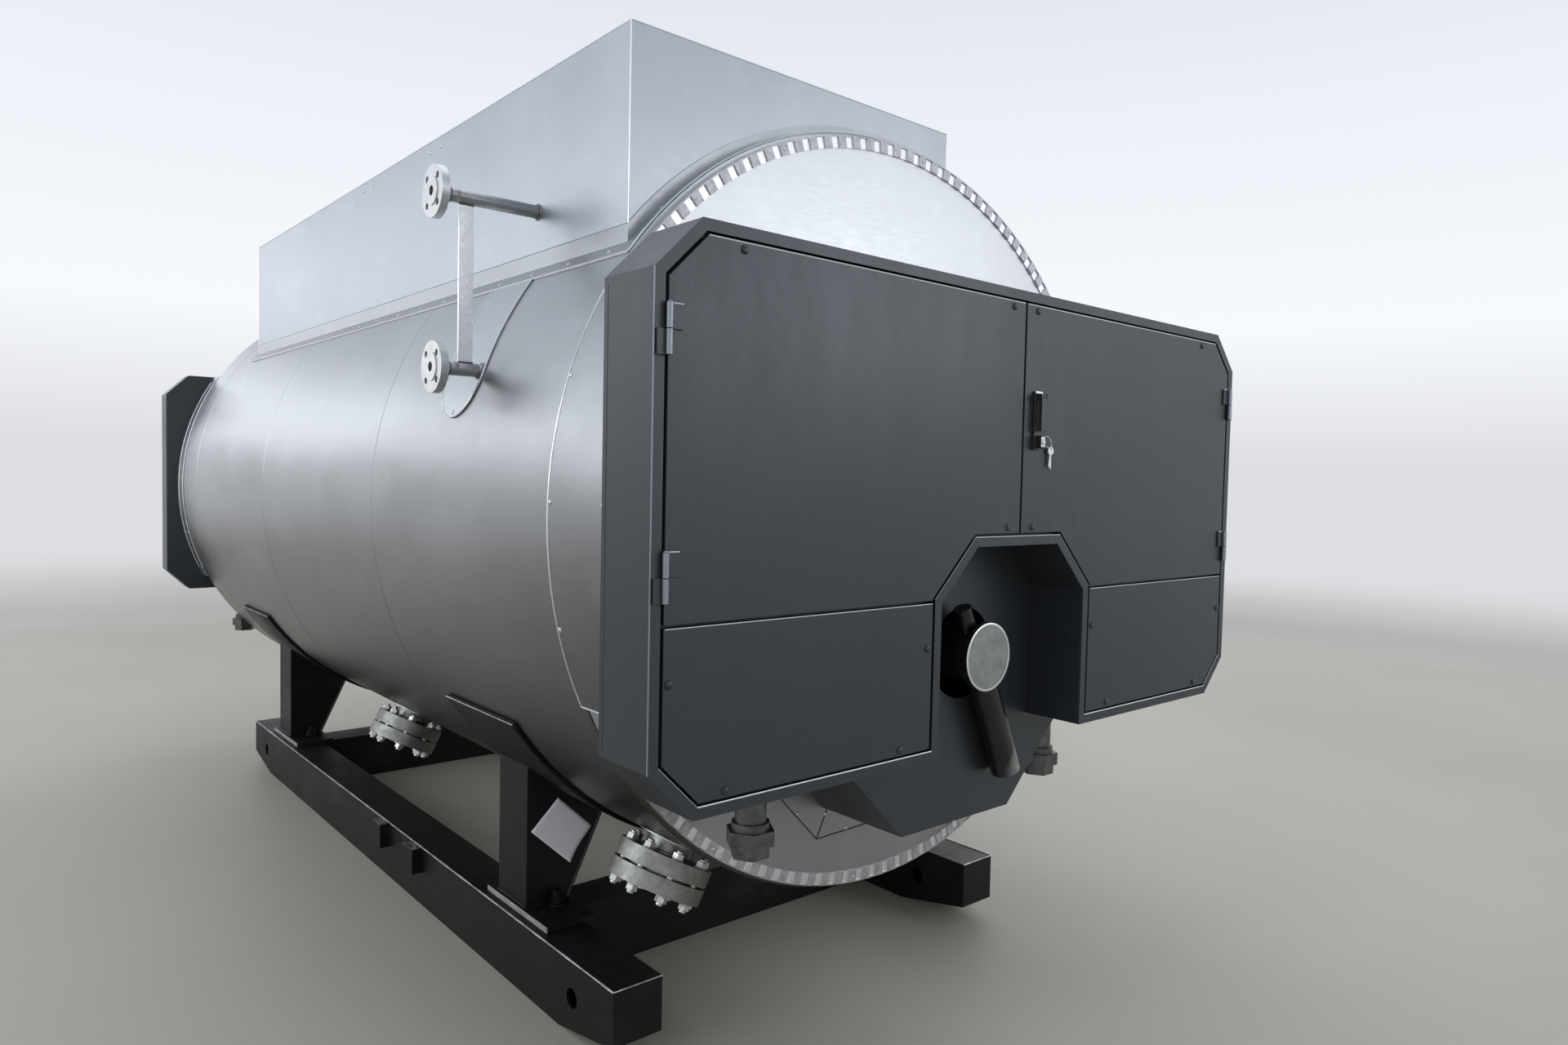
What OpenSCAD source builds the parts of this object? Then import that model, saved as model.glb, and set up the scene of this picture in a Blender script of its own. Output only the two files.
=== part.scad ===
// Horizontal fire-tube steam boiler on a steel skid.
// Millimetres, +Z up. The origin is on the floor, under the barrel's axis,
// midway between the outer faces of the front and rear cowls.
// The burner end faces -Y, and the level gauge nozzles point to -X.

/* [Barrel] */
// Outside radius of the jacket
jacket_r = 846; // [820:1:880]
// Length of the jacket between its two end hems
jacket_l = 3220; // [3100:10:3600]
// Thickness of the jacket, sheet and insulation together
jacket_t = 90; // [60:5:120]
// Height of the jacket's lowest point above the skid's beams
barrel_rise = 134; // [110:2:190]
// Distance from the front hem to the first lap seam
seam_1 = 935; // [850:5:1000]
// Distance from the front hem to the second lap seam
seam_2 = 1955; // [1850:5:2050]
// Distance from the rear hem to the third lap seam
seam_rear = 260; // [220:5:320]
// Depth and half width of the groove at a lap seam
seam_groove = 3; // [1:0.5:5]

/* [End hems] */
// Step from the jacket's surface in to the hem
hem_step = 8; // [2:1:12]
// Length of the hem strip along the barrel
hem_l = 15; // [10:1:25]
// Width of the folded tabs, measured in from the hem
tab_w = 26; // [18:1:36]
// Thickness of the folded sheet
hem_t = 3; // [2:0.5:4]
// Number of folded tabs round each end
tab_count = 120; // [60:4:144]
// Share of the pitch that a tab takes
tab_share = 0.52; // [0.3:0.02:0.7]
// Depth that an end plate reaches into the jacket
end_plug = 60; // [30:5:120]

/* [Top box] */
// Distance from the barrel's left side in to the box's left side
box_in_left = 176; // [146:2:226]
// Distance from the barrel's right side in to the box's right side
box_in_right = 616; // [446:5:696]
// Distance from the front hem to the box's front
box_front = 55; // [50:1:90]
// Distance from the rear hem to the box's back
box_rear = 490; // [320:10:720]
// Height of the box's roof above the barrel's top
box_rise = 84; // [65:1:200]
// Thickness of the box's insulated walls and roof
box_t = 40; // [25:5:60]
// Width of the flashing strip at the box's sides
flash_side = 20; // [12:1:30]
// Width of the flashing strip at the box's front and back
flash_w = 32; // [20:1:34]
// Height of the flashing's upstand on the box
flash_h = 24; // [12:1:40]
// Thickness of the flashing
flash_t = 3; // [2:0.5:5]

/* [Level gauge] */
// Distance from the front hem to the gauge nozzles
gauge_y = 420; // [320:5:520]
// Height of the upper nozzle above the foot of the box's left side
gauge_up = 123.5; // [100:0.5:160]
// Distance between the two nozzles
gauge_pitch = 350; // [330:5:360]
// Distance that the flange faces stand out past the barrel's side
gauge_off = 57; // [44:1:110]
// Outside diameter of the flanges
gauge_flange_d = 105; // [95:5:115]
// Thickness of the flanges
gauge_flange_t = 18; // [14:1:24]
// Diameter of the flanges' raised faces
gauge_face_d = 58; // [40:1:60]
// Height of the flanges' raised faces
gauge_face_t = 2; // [1:0.5:3]
// Outside diameter of the pipes
gauge_pipe_d = 27; // [21:0.5:30]
// Bore of the pipes
gauge_bore_d = 20; // [12:0.5:20]
// Bolt circle of the flanges
gauge_pcd = 75; // [65:1:80]
// Diameter of the bolt holes
gauge_hole_d = 14; // [11:1:16]
// Length of the weld neck
gauge_neck_l = 20; // [10:1:30]
// Diameter of the weld neck at the flange
gauge_neck_d = 41; // [34:1:46]
// Width of the flat bar between the pipes
brace_w = 31; // [20:1:40]
// Thickness of the flat bar between the pipes
brace_t = 5; // [3:0.5:8]
// Share of the lower pipe's free length in front of the flat bar
brace_share = 0.3; // [0.1:0.05:0.35]
// Width of the patch plate round the lower nozzle
patch_w = 190; // [150:5:240]
// Distance from the lower nozzle down to the patch plate's lowest point
patch_drop = 95; // [65:5:135]
// Thickness of the patch plate
patch_t = 2.5; // [1.5:0.5:4]
// Distance from the nozzle to the patch plate's front edge
patch_lead = 18; // [16:1:40]

/* [Hand holes] */
// Angle of the hand holes from straight down
hole_angle = 28; // [20:1:34]
// Distance from the front hem to the front hand holes
hole_y_front = 270; // [200:5:300]
// Distance from the front hem to the rear hand holes
hole_y_rear = 1820; // [1500:10:2100]
// Outside diameter of a neck
neck_d = 114; // [90:2:130]
// Bore of a neck
neck_bore_d = 100; // [80:2:110]
// Length of a neck between the jacket and its flange
neck_l = 30; // [25:1:40]
// Outside diameter of the hand hole flanges
hole_flange_d = 220; // [200:5:240]
// Thickness of each hand hole flange
hole_flange_t = 36; // [24:1:40]
// Diameter of the raised faces
raised_d = 158; // [140:2:166]
// Height of each raised face
raised_t = 3; // [2:0.5:4]
// Bolt circle of the hand hole flanges
hole_pcd = 180; // [175:1:190]
// Diameter of the bolt holes in the hand hole flanges
hole_bolt_d = 18; // [14:1:20]
// Number of bolts round a hand hole
hole_bolts = 8; // [4:4:12]

/* [Skid] */
// Distance from the skid's centre to a beam's outer face
beam_out = 620; // [600:5:660]
// Width of a beam
beam_w = 120; // [110:5:130]
// Height of a beam
beam_h = 165; // [140:5:180]
// Wall thickness of the beams and cross members
beam_t = 8; // [5:1:12]
// Distance from the front hem to the beams' front ends
beam_front = 150; // [100:10:180]
// Distance from the rear hem to the beams' rear ends
beam_rear = 220; // [70:10:240]
// Length of the bevel under each end
bevel_l = 230; // [120:10:260]
// Height of the bevel under each end
bevel_h = 45; // [20:5:60]
// Diameter of the towing holes
tow_d = 45; // [30:1:60]
// Distance from a beam's end to its towing hole
tow_in = 172; // [120:2:220]
// Width of a cross member along the boiler
cross_w = 130; // [100:5:150]
// Distance from a saddle's front web forward to its cross member
cross_lead = 45; // [0:5:90]
// Height of the lugs on the beams' outer faces
lug_h = 73; // [40:1:90]
// Width of the lugs
lug_w = 64; // [40:2:80]
// Depth of the lugs
lug_d = 28; // [15:1:40]
// Distance from a beam's front end to its front lug
lug_front = 1030; // [900:10:1150]
// Distance from a beam's front end to its rear lug
lug_rear = 1286; // [1240:2:1500]

/* [Saddles] */
// Distance from the front hem to the front saddles
saddle_front = 600; // [560:10:620]
// Distance from the rear hem to the rear saddles
saddle_rear = 620; // [590:10:670]
// Depth of a saddle along the boiler
saddle_d = 150; // [120:5:180]
// Distance from a beam's outer face in to a saddle's outer face
saddle_in = 30; // [20:1:50]
// Distance from a beam's outer face in to a web's foot
foot_in = 140; // [120:5:160]
// Distance from the barrel's axis to a web's top
web_top = 385; // [340:5:420]
// Thickness of the saddles' plates
plate_t = 12; // [8:1:16]
// Thickness of the base plates
base_t = 15; // [10:1:20]
// Length of a base plate in front of its saddle
base_front = 125; // [100:5:140]
// Length of a base plate behind its saddle
base_rear = 40; // [20:5:80]
// Diameter of the base plate bolt holes
base_hole_d = 22; // [18:1:26]
// Distance from a beam's outer face in to the base plate bolt holes
bolt_in = 98; // [60:1:110]
// Distance from a saddle's webs to the base plate bolt holes
base_hole_in = 22; // [16:1:25]
// Thickness of the wear plates
wear_t = 10; // [6:1:14]
// Length of a wear plate in front of its saddle
wear_front = 180; // [120:10:220]
// Length of a wear plate behind its saddle
wear_rear = 30; // [10:5:80]
// Angle from straight down to a wear plate's lower edge
wear_low = 24; // [20:1:26]
// Angle from straight down to a wear plate's upper edge
wear_high = 57; // [52:1:62]

/* [Front cowl] */
// Distance that the cowls' sides stand out past the barrel's side
cowl_over = 39; // [20:1:74]
// Height of the cowls' top above the barrel's axis
cowl_up = 465; // [415:5:495]
// Distance from the barrel's axis down to the cowls' bottom
cowl_down = 445; // [425:5:485]
// Size of the chamfer at the cowls' corners
cowl_chamfer = 84; // [50:2:110]
// Depth of the front cowl
cowl_d = 140; // [120:5:170]
// Distance from the front hem to the front cowl's back
cowl_gap = 225; // [215:5:280]
// Thickness of the cowls' sheet
sheet_t = 3; // [2:0.5:4]
// Width of the frame strip round the doors
strip_w = 19; // [16:1:24]
// Gap round the doors and panels
door_gap = 6; // [6:0.5:8]
// Depth of a door
door_d = 14; // [10:1:15]
// Depth of a fixed panel, which sits on the frame's rebate
panel_d = 20; // [19:1:26]
// Width of the rebate behind the doors and panels
rebate_w = 15; // [10:1:20]
// Width of the flange at a cowl's back
back_flange = 60; // [50:1:70]
// Height of the line between the doors and the lower panels above the cowls' bottom
door_rise = 301; // [285:1:310]

/* [Smoke boxes] */
// Distance from the barrel's axis down to the smoke boxes' flat bottom
smoke_down = 385; // [355:5:405]
// Height of the smoke boxes' flat top above the barrel's axis
smoke_up = 460; // [425:5:495]
// Distance from the barrel's axis down to the side covers' lower edge
cover_down = 343; // [295:1:350]
// Height of the side covers' upper edge above the barrel's axis
cover_up = 435; // [355:5:455]
// Distance that a side cover reaches over the jacket
cover_lap = 20; // [18:1:40]
// Distance between a side cover and the cowl
cover_gap = 50; // [30:5:70]
// Thickness of the side covers
cover_t = 2.5; // [1.5:0.5:4]

/* [Burner tunnel] */
// Half the width of the tunnel
tunnel_hw = 235; // [210:5:250]
// Height of the tunnel's top above the burner's axis
tunnel_rise = 238; // [218:2:258]
// Size of the chamfer at the tunnel's top corners
tunnel_chamfer = 103; // [80:1:105]

/* [Hinges and handle] */
// Height of the lower hinges above the doors' lower line
hinge_rise = 74; // [64:1:120]
// Distance from the cowls' top down to the upper hinges
hinge_drop = 172; // [160:2:210]
// Length of a hinge
hinge_l = 76; // [60:2:90]
// Radius of a hinge knuckle
knuckle_r = 5; // [4:0.5:5.5]
// Radius of a hinge pin
pin_r = 3; // [2:0.25:3.25]
// Clearance round a hinge pin
pin_fit = 0.08; // [0.05:0.01:0.1]
// Thickness of a hinge leaf
leaf_t = 4; // [3:0.5:4.5]
// Width of the leaf on the door
leaf_w = 27; // [18:1:34]
// Distance of the hinge pin in front of the door's face
hinge_proud = 7; // [6.5:0.5:9]
// Distance from the doors' split to the handle's middle
handle_x = 42; // [38:1:70]
// Distance from the cowls' top down to the handle's middle
handle_drop = 257; // [230:1:310]
// Length of the handle's plate
handle_l = 118; // [110:1:130]
// Width of the handle's plate
handle_w = 25; // [22:1:32]
// Thickness of the handle's plate
handle_t = 6; // [4:0.5:8]
// Width of the lever
lever_w = 14; // [10:0.5:16]
// Thickness of the lever
lever_t = 8; // [6:0.5:10]
// Length of the lever below its pin
lever_l = 70; // [50:1:76]
// Gap between the lever and the plate behind it
lever_gap = 5; // [5:0.5:7]
// Thickness of the ears beside the lever
ear_t = 3; // [2:0.5:4]
// Radius of the lever's pin
lever_pin_r = 2.5; // [2:0.25:3]
// Height of the lock below the lever
lock_h = 26; // [18:1:28]

/* [Burner box] */
// Distance from the barrel's axis down to the burner's axis
burner_drop = 283; // [271:2:295]
// Half the distance across the burner box
burner_hw = 364; // [330:2:380]
// Half the length of the burner box's bottom edge
burner_flat = 175; // [150:5:200]
// Wall thickness of the burner box
burner_t = 8; // [5:1:12]
// Diameter of the hole in the burner box's plate
burner_hole_d = 195; // [180:1:210]
// Diameter of the burner stub
stub_d = 120; // [100:2:130]
// Diameter of the stub's blind disc
blind_d = 146; // [136:1:160]
// Thickness of the stub's blind disc
blind_t = 10; // [6:1:14]
// Distance of the blind disc's face in front of the plate
blind_out = 71; // [68:1:80]
// Outside diameter of the sloping branch
branch_d = 64; // [50:1:66]
// Bore of the sloping branch
branch_bore_d = 52; // [38:1:54]
// Length of the sloping branch from the stub's axis
branch_l = 290; // [240:5:320]
// Slope of the branch from the vertical
branch_tilt = 24; // [15:1:30]
// Diameter of the small stub opposite the branch
nipple_d = 38; // [30:1:45]
// Length of the small stub from the stub's axis
nipple_l = 112; // [95:1:130]

/* [Drains] */
// Distance from the burner box's side to the front left drain
drain_out_left = 144; // [116:2:196]
// Distance from the burner box's side to the front right drain
drain_out_right = 38; // [36:1:196]
// Distance from the front hem forward to the front drains
drain_y = 145; // [60:5:160]
// Distance from the barrel's axis to the rear drain
drain_rear = 600; // [500:2:680]
// Outside diameter of a drain pipe
drain_d = 60; // [48:1:64]
// Bore of a drain pipe
drain_bore_d = 50; // [36:1:52]
// Length of the drains below the smoke boxes
drain_l = 245; // [220:5:280]
// Height of the union's lower hexagon
union_low_h = 23; // [10:1:40]
// Width across the flats of the union's lower hexagon
union_low_af = 68; // [64:1:74]
// Width across the flats of the union
union_af = 84; // [76:1:92]
// Height of the union's hexagon
union_h = 29; // [20:1:36]
// Diameter of the collar above the hexagon
collar_d = 72; // [68:1:80]
// Height of the collar above the hexagon
collar_h = 14; // [8:1:20]

/* [Rear cowl] */
// Distance from the rear hem to the rear cowl
rear_gap = 110; // [105:5:140]
// Depth of the rear cowl
rear_cowl_d = 100; // [80:5:130]

/* [Hidden] */

// Clearance where a curved piece rests on the barrel
seat = 0.3;
// Length that a cut runs past a face
past = 1;
// Wall left between a blind bore's end and the barrel
bore_end = 3;
// Clearance between a knuckle or lever and the piece beside it
play = 0.5;
// Facets of a full circle
$fn = 96;

// Colours of the real finishes
jacket_color = [0.62, 0.63, 0.64];
end_color = [0.82, 0.83, 0.84];
cowl_color = [0.20, 0.22, 0.24];
skid_color = [0.10, 0.10, 0.11];
steel_color = [0.66, 0.66, 0.64];
iron_color = [0.22, 0.22, 0.22];
zinc_color = [0.78, 0.80, 0.82];
black_color = [0.05, 0.05, 0.06];

total_l = cowl_d + cowl_gap + jacket_l + rear_gap + rear_cowl_d;
face_y = -total_l / 2;
hem_y = face_y + cowl_d + cowl_gap;
rear_y = hem_y + jacket_l;
plate_y = hem_y - cowl_gap;
rear_cowl_y = rear_y + rear_gap;

axis_z = beam_h + barrel_rise + jacket_r;
seam_3 = jacket_l - seam_rear;
hem_r = jacket_r - hem_step;
end_face = 2 * hem_t;

box_left = jacket_r - box_in_left;
box_right = jacket_r - box_in_right;
box_back = jacket_l - box_rear;
box_top = axis_z + jacket_r + box_rise;

gauge_reach = jacket_r + gauge_off;
gauge_top_z = axis_z + sqrt(pow(jacket_r, 2) - pow(box_left, 2)) + gauge_up;
gauge_low_z = gauge_top_z - gauge_pitch;
gauge_root_r = jacket_r + 2 * seat + patch_t;
gauge_low_root = sqrt(pow(gauge_root_r, 2) - pow(gauge_low_z - gauge_bore_d / 2 - axis_z, 2));
neck_reach = gauge_reach - gauge_flange_t - gauge_neck_l;
patch_z = gauge_low_z - patch_drop;

beam_l = jacket_l - beam_front - beam_rear;
base_top = beam_h + base_t;
saddle_out = beam_out - saddle_in;
web_foot = beam_out - foot_in;
base_hole_x = beam_out - bolt_in;
wear_r = jacket_r + seat;
wear_out_r = wear_r + wear_t;

cowl_hw = jacket_r + cowl_over;
cowl_top = axis_z + cowl_up;
cowl_bottom = axis_z - cowl_down;
door_line = cowl_bottom + door_rise;
hinge_x = cowl_hw - strip_w - door_gap / 2;
hinge_y = face_y - hinge_proud;
hinge_low = door_line + hinge_rise;
hinge_high = cowl_top - hinge_drop;

burner_z = axis_z - burner_drop;
tunnel_top = burner_z + tunnel_rise;
branch_y = plate_y - branch_d / 2 - sheet_t;

smoke_bottom = axis_z - smoke_down;
smoke_top = axis_z + smoke_up;
cover_low = axis_z - cover_down;
cover_high = axis_z + cover_up;
drain_left = burner_hw + drain_out_left;
drain_right = burner_hw + drain_out_right;
drain_z = smoke_bottom - drain_l;

handle_z = cowl_top - handle_drop;
handle_bottom = handle_z - handle_l / 2;
handle_top = handle_z + handle_l / 2;
boss_r = lever_pin_r * 2;
pivot_z = handle_top - 2 * boss_r;
pivot_y = face_y - handle_t - lever_gap - lever_t / 2;
ear_x = lever_w / 2 + play;

// Points of a rectangle with its four corners cut at 45 degrees
function cut_rect(x0, x1, z0, z1, c) = [
    [x0 + c, z0], [x1 - c, z0], [x1, z0 + c], [x1, z1 - c],
    [x1 - c, z1], [x0 + c, z1], [x0, z1 - c], [x0, z0 + c]
];

// Size of a 45 degree corner cut after its outline moves in by d
function inner_cut(c, d) = c - d * (2 - sqrt(2));

// Outline of the cowls, moved in by d
function cowl_outline(d) = cut_rect(
    -cowl_hw + d, cowl_hw - d, cowl_bottom + d, cowl_top - d, inner_cut(cowl_chamfer, d)
);

// Outline of the burner tunnel, moved out by d and open at its bottom
function tunnel_outline(d) = [
    [-tunnel_hw - d, cowl_bottom - past], [tunnel_hw + d, cowl_bottom - past],
    [tunnel_hw + d, tunnel_top + d - inner_cut(tunnel_chamfer, -d)],
    [tunnel_hw + d - inner_cut(tunnel_chamfer, -d), tunnel_top + d],
    [-tunnel_hw - d + inner_cut(tunnel_chamfer, -d), tunnel_top + d],
    [-tunnel_hw - d, tunnel_top + d - inner_cut(tunnel_chamfer, -d)]
];

// Outline of the burner box, moved in by d
function burner_outline(d) = cut_rect(
    -burner_hw + d, burner_hw - d, burner_z - burner_hw + d, burner_z + burner_hw - d,
    inner_cut(burner_hw - burner_flat, d)
);

// Side view of a skid beam, moved in by d
function beam_profile(d) = [
    [d, bevel_h + d], [bevel_l, d], [beam_l - bevel_l, d], [beam_l - d, bevel_h + d],
    [beam_l - d, beam_h - d], [d, beam_h - d]
];

// Inner edge of the folded tabs: in at each tab, and back to the hem between two
function tab_edge(r_in, r_gap) = [
    for (i = [0:tab_count - 1], k = [0:3])
        let (a = 360 / tab_count * (i + (k < 2 ? 0 : tab_share) - tab_share / 2),
             r = (k == 1 || k == 2) ? r_in : r_gap)
        [r * sin(a), r * cos(a)]
];

// Extrudes an outline drawn in X and Z along +Y from y
module prism(y, depth) {
    translate([0, y + depth, 0])
        rotate([90, 0, 0])
            linear_extrude(height = depth)
                children();
}

// Puts a shape drawn round +Z on the barrel's axis, with +Z turned to +Y
module on_axis(y) {
    translate([0, y, axis_z])
        rotate([-90, 0, 0])
            children();
}

// Cylinder round the barrel's axis
module barrel_cylinder(r, y, depth) {
    on_axis(y)
        cylinder(r = r, h = depth, $fn = 180);
}

// Keeps a child on the left, or mirrors it to the right
module side(right) {
    mirror([right ? 1 : 0, 0, 0])
        children();
}

module box(x0, x1, y0, y1, z0, z1) {
    translate([x0, y0, z0])
        cube([x1 - x0, y1 - y0, z1 - z0]);
}

// Skid

module skid_beam(right) {
    color(skid_color)
        side(right)
            difference() {
                union() {
                    translate([-beam_out, hem_y + beam_front, 0])
                        rotate([90, 0, 90])
                            linear_extrude(height = beam_w)
                                polygon(beam_profile(0));
                    for (y = [lug_front, lug_rear])
                        lug(hem_y + beam_front + y);
                }
                translate([-beam_out + beam_t, hem_y + beam_front, 0])
                    rotate([90, 0, 90])
                        linear_extrude(height = beam_w - 2 * beam_t)
                            polygon(beam_profile(beam_t));
                for (y = [tow_in, beam_l - tow_in])
                    translate([-beam_out - past, hem_y + beam_front + y, beam_h / 2])
                        rotate([0, 90, 0])
                            cylinder(d = tow_d, h = beam_w + 2 * past);
            }
}

module lug(y) {
    box(-beam_out - lug_d, -beam_out + beam_t / 2, y, y + lug_w, beam_h - beam_t, beam_h);
    box(-beam_out - lug_d, -beam_out + beam_t / 2, y, y + beam_t, beam_h - lug_h, beam_h);
}

module cross_member(y) {
    inner = beam_out - beam_w;
    color(skid_color)
        difference() {
            box(-inner, inner, y, y + cross_w, 0, beam_h);
            box(-inner - past, inner + past, y + beam_t, y + cross_w - beam_t,
                beam_t, beam_h - beam_t);
        }
}

// Saddles

module saddle(y, right) {
    web_rise = axis_z - sqrt(pow(wear_out_r, 2) - pow(web_top, 2));
    color(skid_color)
        side(right)
            difference() {
                union() {
                    difference() {
                        union() {
                            for (web_y = [y, y + saddle_d - plate_t])
                                prism(web_y, plate_t)
                                    polygon([
                                        [-web_foot, base_top - past], [-saddle_out, base_top - past],
                                        [-saddle_out, axis_z - web_top], [-web_top, axis_z - web_top],
                                        [-web_top, web_rise]
                                    ]);
                            box(-saddle_out, -saddle_out + plate_t, y, y + saddle_d,
                                base_top - past, axis_z - web_top);
                        }
                        barrel_cylinder(wear_r + wear_t / 2, y - past, saddle_d + 2 * past);
                    }
                    wear_plate(y - wear_front, wear_front + saddle_d + wear_rear);
                    box(-saddle_out - plate_t, -web_foot + plate_t,
                        y - base_front, y + saddle_d + base_rear, beam_h, base_top);
                }
                for (hole_y = [y - base_hole_in, y + saddle_d + base_hole_in])
                    translate([-base_hole_x, hole_y, beam_h - past])
                        cylinder(d = base_hole_d, h = base_t + 2 * past);
            }
}

module wear_plate(y, depth) {
    reach = 2 * jacket_r;
    intersection() {
        difference() {
            barrel_cylinder(wear_out_r, y, depth);
            barrel_cylinder(wear_r, y - past, depth + 2 * past);
        }
        translate([0, 0, axis_z])
            prism(y - past, depth + 2 * past)
                polygon([
                    [0, 0],
                    [-reach * sin(wear_low), -reach * cos(wear_low)],
                    [-reach * sin(wear_high), -reach * cos(wear_high)]
                ]);
    }
}

// Barrel

module jacket_course(from, to) {
    length = to - from;
    inner_r = jacket_r - jacket_t;
    color(jacket_color)
        on_axis(hem_y + from)
            rotate_extrude($fn = 180)
                polygon([
                    [inner_r, 0], [jacket_r - seam_groove, 0], [jacket_r, seam_groove],
                    [jacket_r, length - seam_groove], [jacket_r - seam_groove, length],
                    [inner_r, length]
                ]);
}

module front_end() {
    inner_r = jacket_r - jacket_t - seat;
    color(end_color)
        on_axis(hem_y)
            rotate_extrude($fn = 180)
                polygon([
                    [0, end_face], [hem_r - hem_t - seat, end_face], [hem_r - hem_t - seat, hem_l],
                    [inner_r, hem_l], [inner_r, hem_l + end_plug], [0, hem_l + end_plug]
                ]);
}

module hem() {
    inner_r = hem_r - hem_t;
    color(jacket_color)
        union() {
            on_axis(hem_y)
                rotate_extrude($fn = 180)
                    polygon([
                        [hem_r - tab_w, hem_t], [hem_r, hem_t], [hem_r, hem_l], [inner_r, hem_l],
                        [inner_r, end_face], [hem_r - tab_w, end_face]
                    ]);
            translate([0, 0, axis_z])
                prism(hem_y, hem_t)
                    difference() {
                        circle(r = hem_r, $fn = 180);
                        polygon(tab_edge(hem_r - tab_w, inner_r));
                    }
        }
}

module at_rear() {
    translate([0, hem_y + rear_y, 0])
        mirror([0, 1, 0])
            children();
}

// Top box

module box_block(dx, dy, z0, z1) {
    box(-box_left - dx, box_right + dx, hem_y + box_front - dy, hem_y + box_back + dy, z0, z1);
}

module top_box_walls() {
    color(jacket_color)
        difference() {
            box_block(0, 0, axis_z, box_top - box_t);
            box_block(-box_t, -box_t, axis_z - past, box_top);
            barrel_cylinder(jacket_r + seat, hem_y, jacket_l);
        }
}

module top_box_roof() {
    color(jacket_color)
        box_block(0, 0, box_top - box_t, box_top);
}

module top_box_flashing() {
    foot_r = jacket_r + seat;
    color(jacket_color)
        difference() {
            union() {
                intersection() {
                    barrel_cylinder(foot_r + flash_t, hem_y, jacket_l);
                    box_block(flash_side, flash_w, axis_z, box_top);
                }
                intersection() {
                    barrel_cylinder(foot_r + flash_h, hem_y, jacket_l);
                    box_block(flash_t, flash_t, axis_z, box_top - box_t);
                }
            }
            barrel_cylinder(foot_r, hem_y - past, jacket_l + 2 * past);
            box_block(0, 0, axis_z - past, box_top);
        }
}

// Level gauge

module gauge_nozzle(z, root_x, bore_x) {
    color(steel_color)
        translate([-gauge_reach, hem_y + gauge_y, z])
            rotate([0, 90, 0])
                difference() {
                    union() {
                        cylinder(d = gauge_pipe_d, h = gauge_reach - root_x);
                        cylinder(d = gauge_face_d, h = gauge_face_t + past);
                        translate([0, 0, gauge_face_t])
                            cylinder(d = gauge_flange_d, h = gauge_flange_t - gauge_face_t);
                        translate([0, 0, gauge_flange_t - past])
                            cylinder(d1 = gauge_neck_d, d2 = gauge_pipe_d, h = gauge_neck_l);
                    }
                    translate([0, 0, -past])
                        cylinder(d = gauge_bore_d, h = gauge_reach - bore_x + past);
                    for (a = [45:90:315])
                        rotate([0, 0, a])
                            translate([gauge_pcd / 2, 0, -past])
                                cylinder(d = gauge_hole_d, h = gauge_flange_t + 2 * past);
                }
}

module gauge_nozzle_upper() {
    gauge_nozzle(gauge_top_z, box_left, box_left - past);
}

module gauge_nozzle_lower() {
    difference() {
        gauge_nozzle(gauge_low_z, gauge_low_root - gauge_bore_d, gauge_low_root + bore_end);
        barrel_cylinder(gauge_root_r, hem_y, jacket_l);
    }
}

module gauge_brace() {
    x = -neck_reach + brace_share * (neck_reach - gauge_low_root);
    color(zinc_color)
        difference() {
            box(x, x + brace_w, hem_y + gauge_y - brace_t / 2, hem_y + gauge_y + brace_t / 2,
                gauge_low_z, gauge_top_z);
            for (z = [gauge_low_z, gauge_top_z])
                translate([-gauge_reach, hem_y + gauge_y, z])
                    rotate([0, 90, 0])
                        cylinder(d = gauge_pipe_d + 2 * seat, h = gauge_reach);
        }
}

module gauge_patch() {
    front = hem_y + gauge_y - patch_lead;
    r = patch_w / 2;
    color(jacket_color)
        difference() {
            intersection() {
                barrel_cylinder(jacket_r + seat + patch_t, front - past, patch_w + 2 * past);
                translate([-box_left - flash_side - seat, 0, 0])
                    rotate([0, -90, 0])
                        linear_extrude(height = jacket_r)
                            union() {
                                translate([patch_z + r, front + r])
                                    circle(r = r);
                                translate([patch_z + r, front])
                                    square([axis_z + jacket_r - patch_z, patch_w]);
                            }
            }
            barrel_cylinder(jacket_r + seat, front - 2 * past, patch_w + 4 * past);
        }
}

// Hand holes, drawn with +Z pointing away from the barrel

module on_hole(y, right) {
    side(right)
        translate([0, hem_y + y, axis_z])
            rotate([0, 180 + hole_angle, 0])
                translate([0, 0, jacket_r])
                    children();
}

module flange_ring(z, raised_z) {
    difference() {
        union() {
            translate([0, 0, z])
                cylinder(d = hole_flange_d, h = hole_flange_t);
            translate([0, 0, raised_z])
                cylinder(d = raised_d, h = raised_t + past);
        }
        for (i = [0:hole_bolts - 1])
            rotate([0, 0, 360 / hole_bolts * (i + 0.5)])
                translate([hole_pcd / 2, 0, z - past])
                    cylinder(d = hole_bolt_d, h = hole_flange_t + 2 * past);
    }
}

module handhole_neck(y, right) {
    color(steel_color)
        difference() {
            on_hole(y, right)
                difference() {
                    union() {
                        translate([0, 0, -neck_l])
                            cylinder(d = neck_d, h = 2 * neck_l + past);
                        flange_ring(neck_l, neck_l + hole_flange_t - past);
                    }
                    translate([0, 0, -neck_l - past])
                        cylinder(d = neck_bore_d, h = 3 * neck_l + hole_flange_t);
                }
            barrel_cylinder(jacket_r + seat, hem_y, jacket_l);
        }
}

module handhole_cover(y, right) {
    z = neck_l + hole_flange_t + raised_t;
    color(steel_color)
        on_hole(y, right)
            flange_ring(z + raised_t, z);
}

// Front cowl

module ring_2d(outer, inner) {
    difference() {
        polygon(outer);
        polygon(inner);
    }
}

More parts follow.
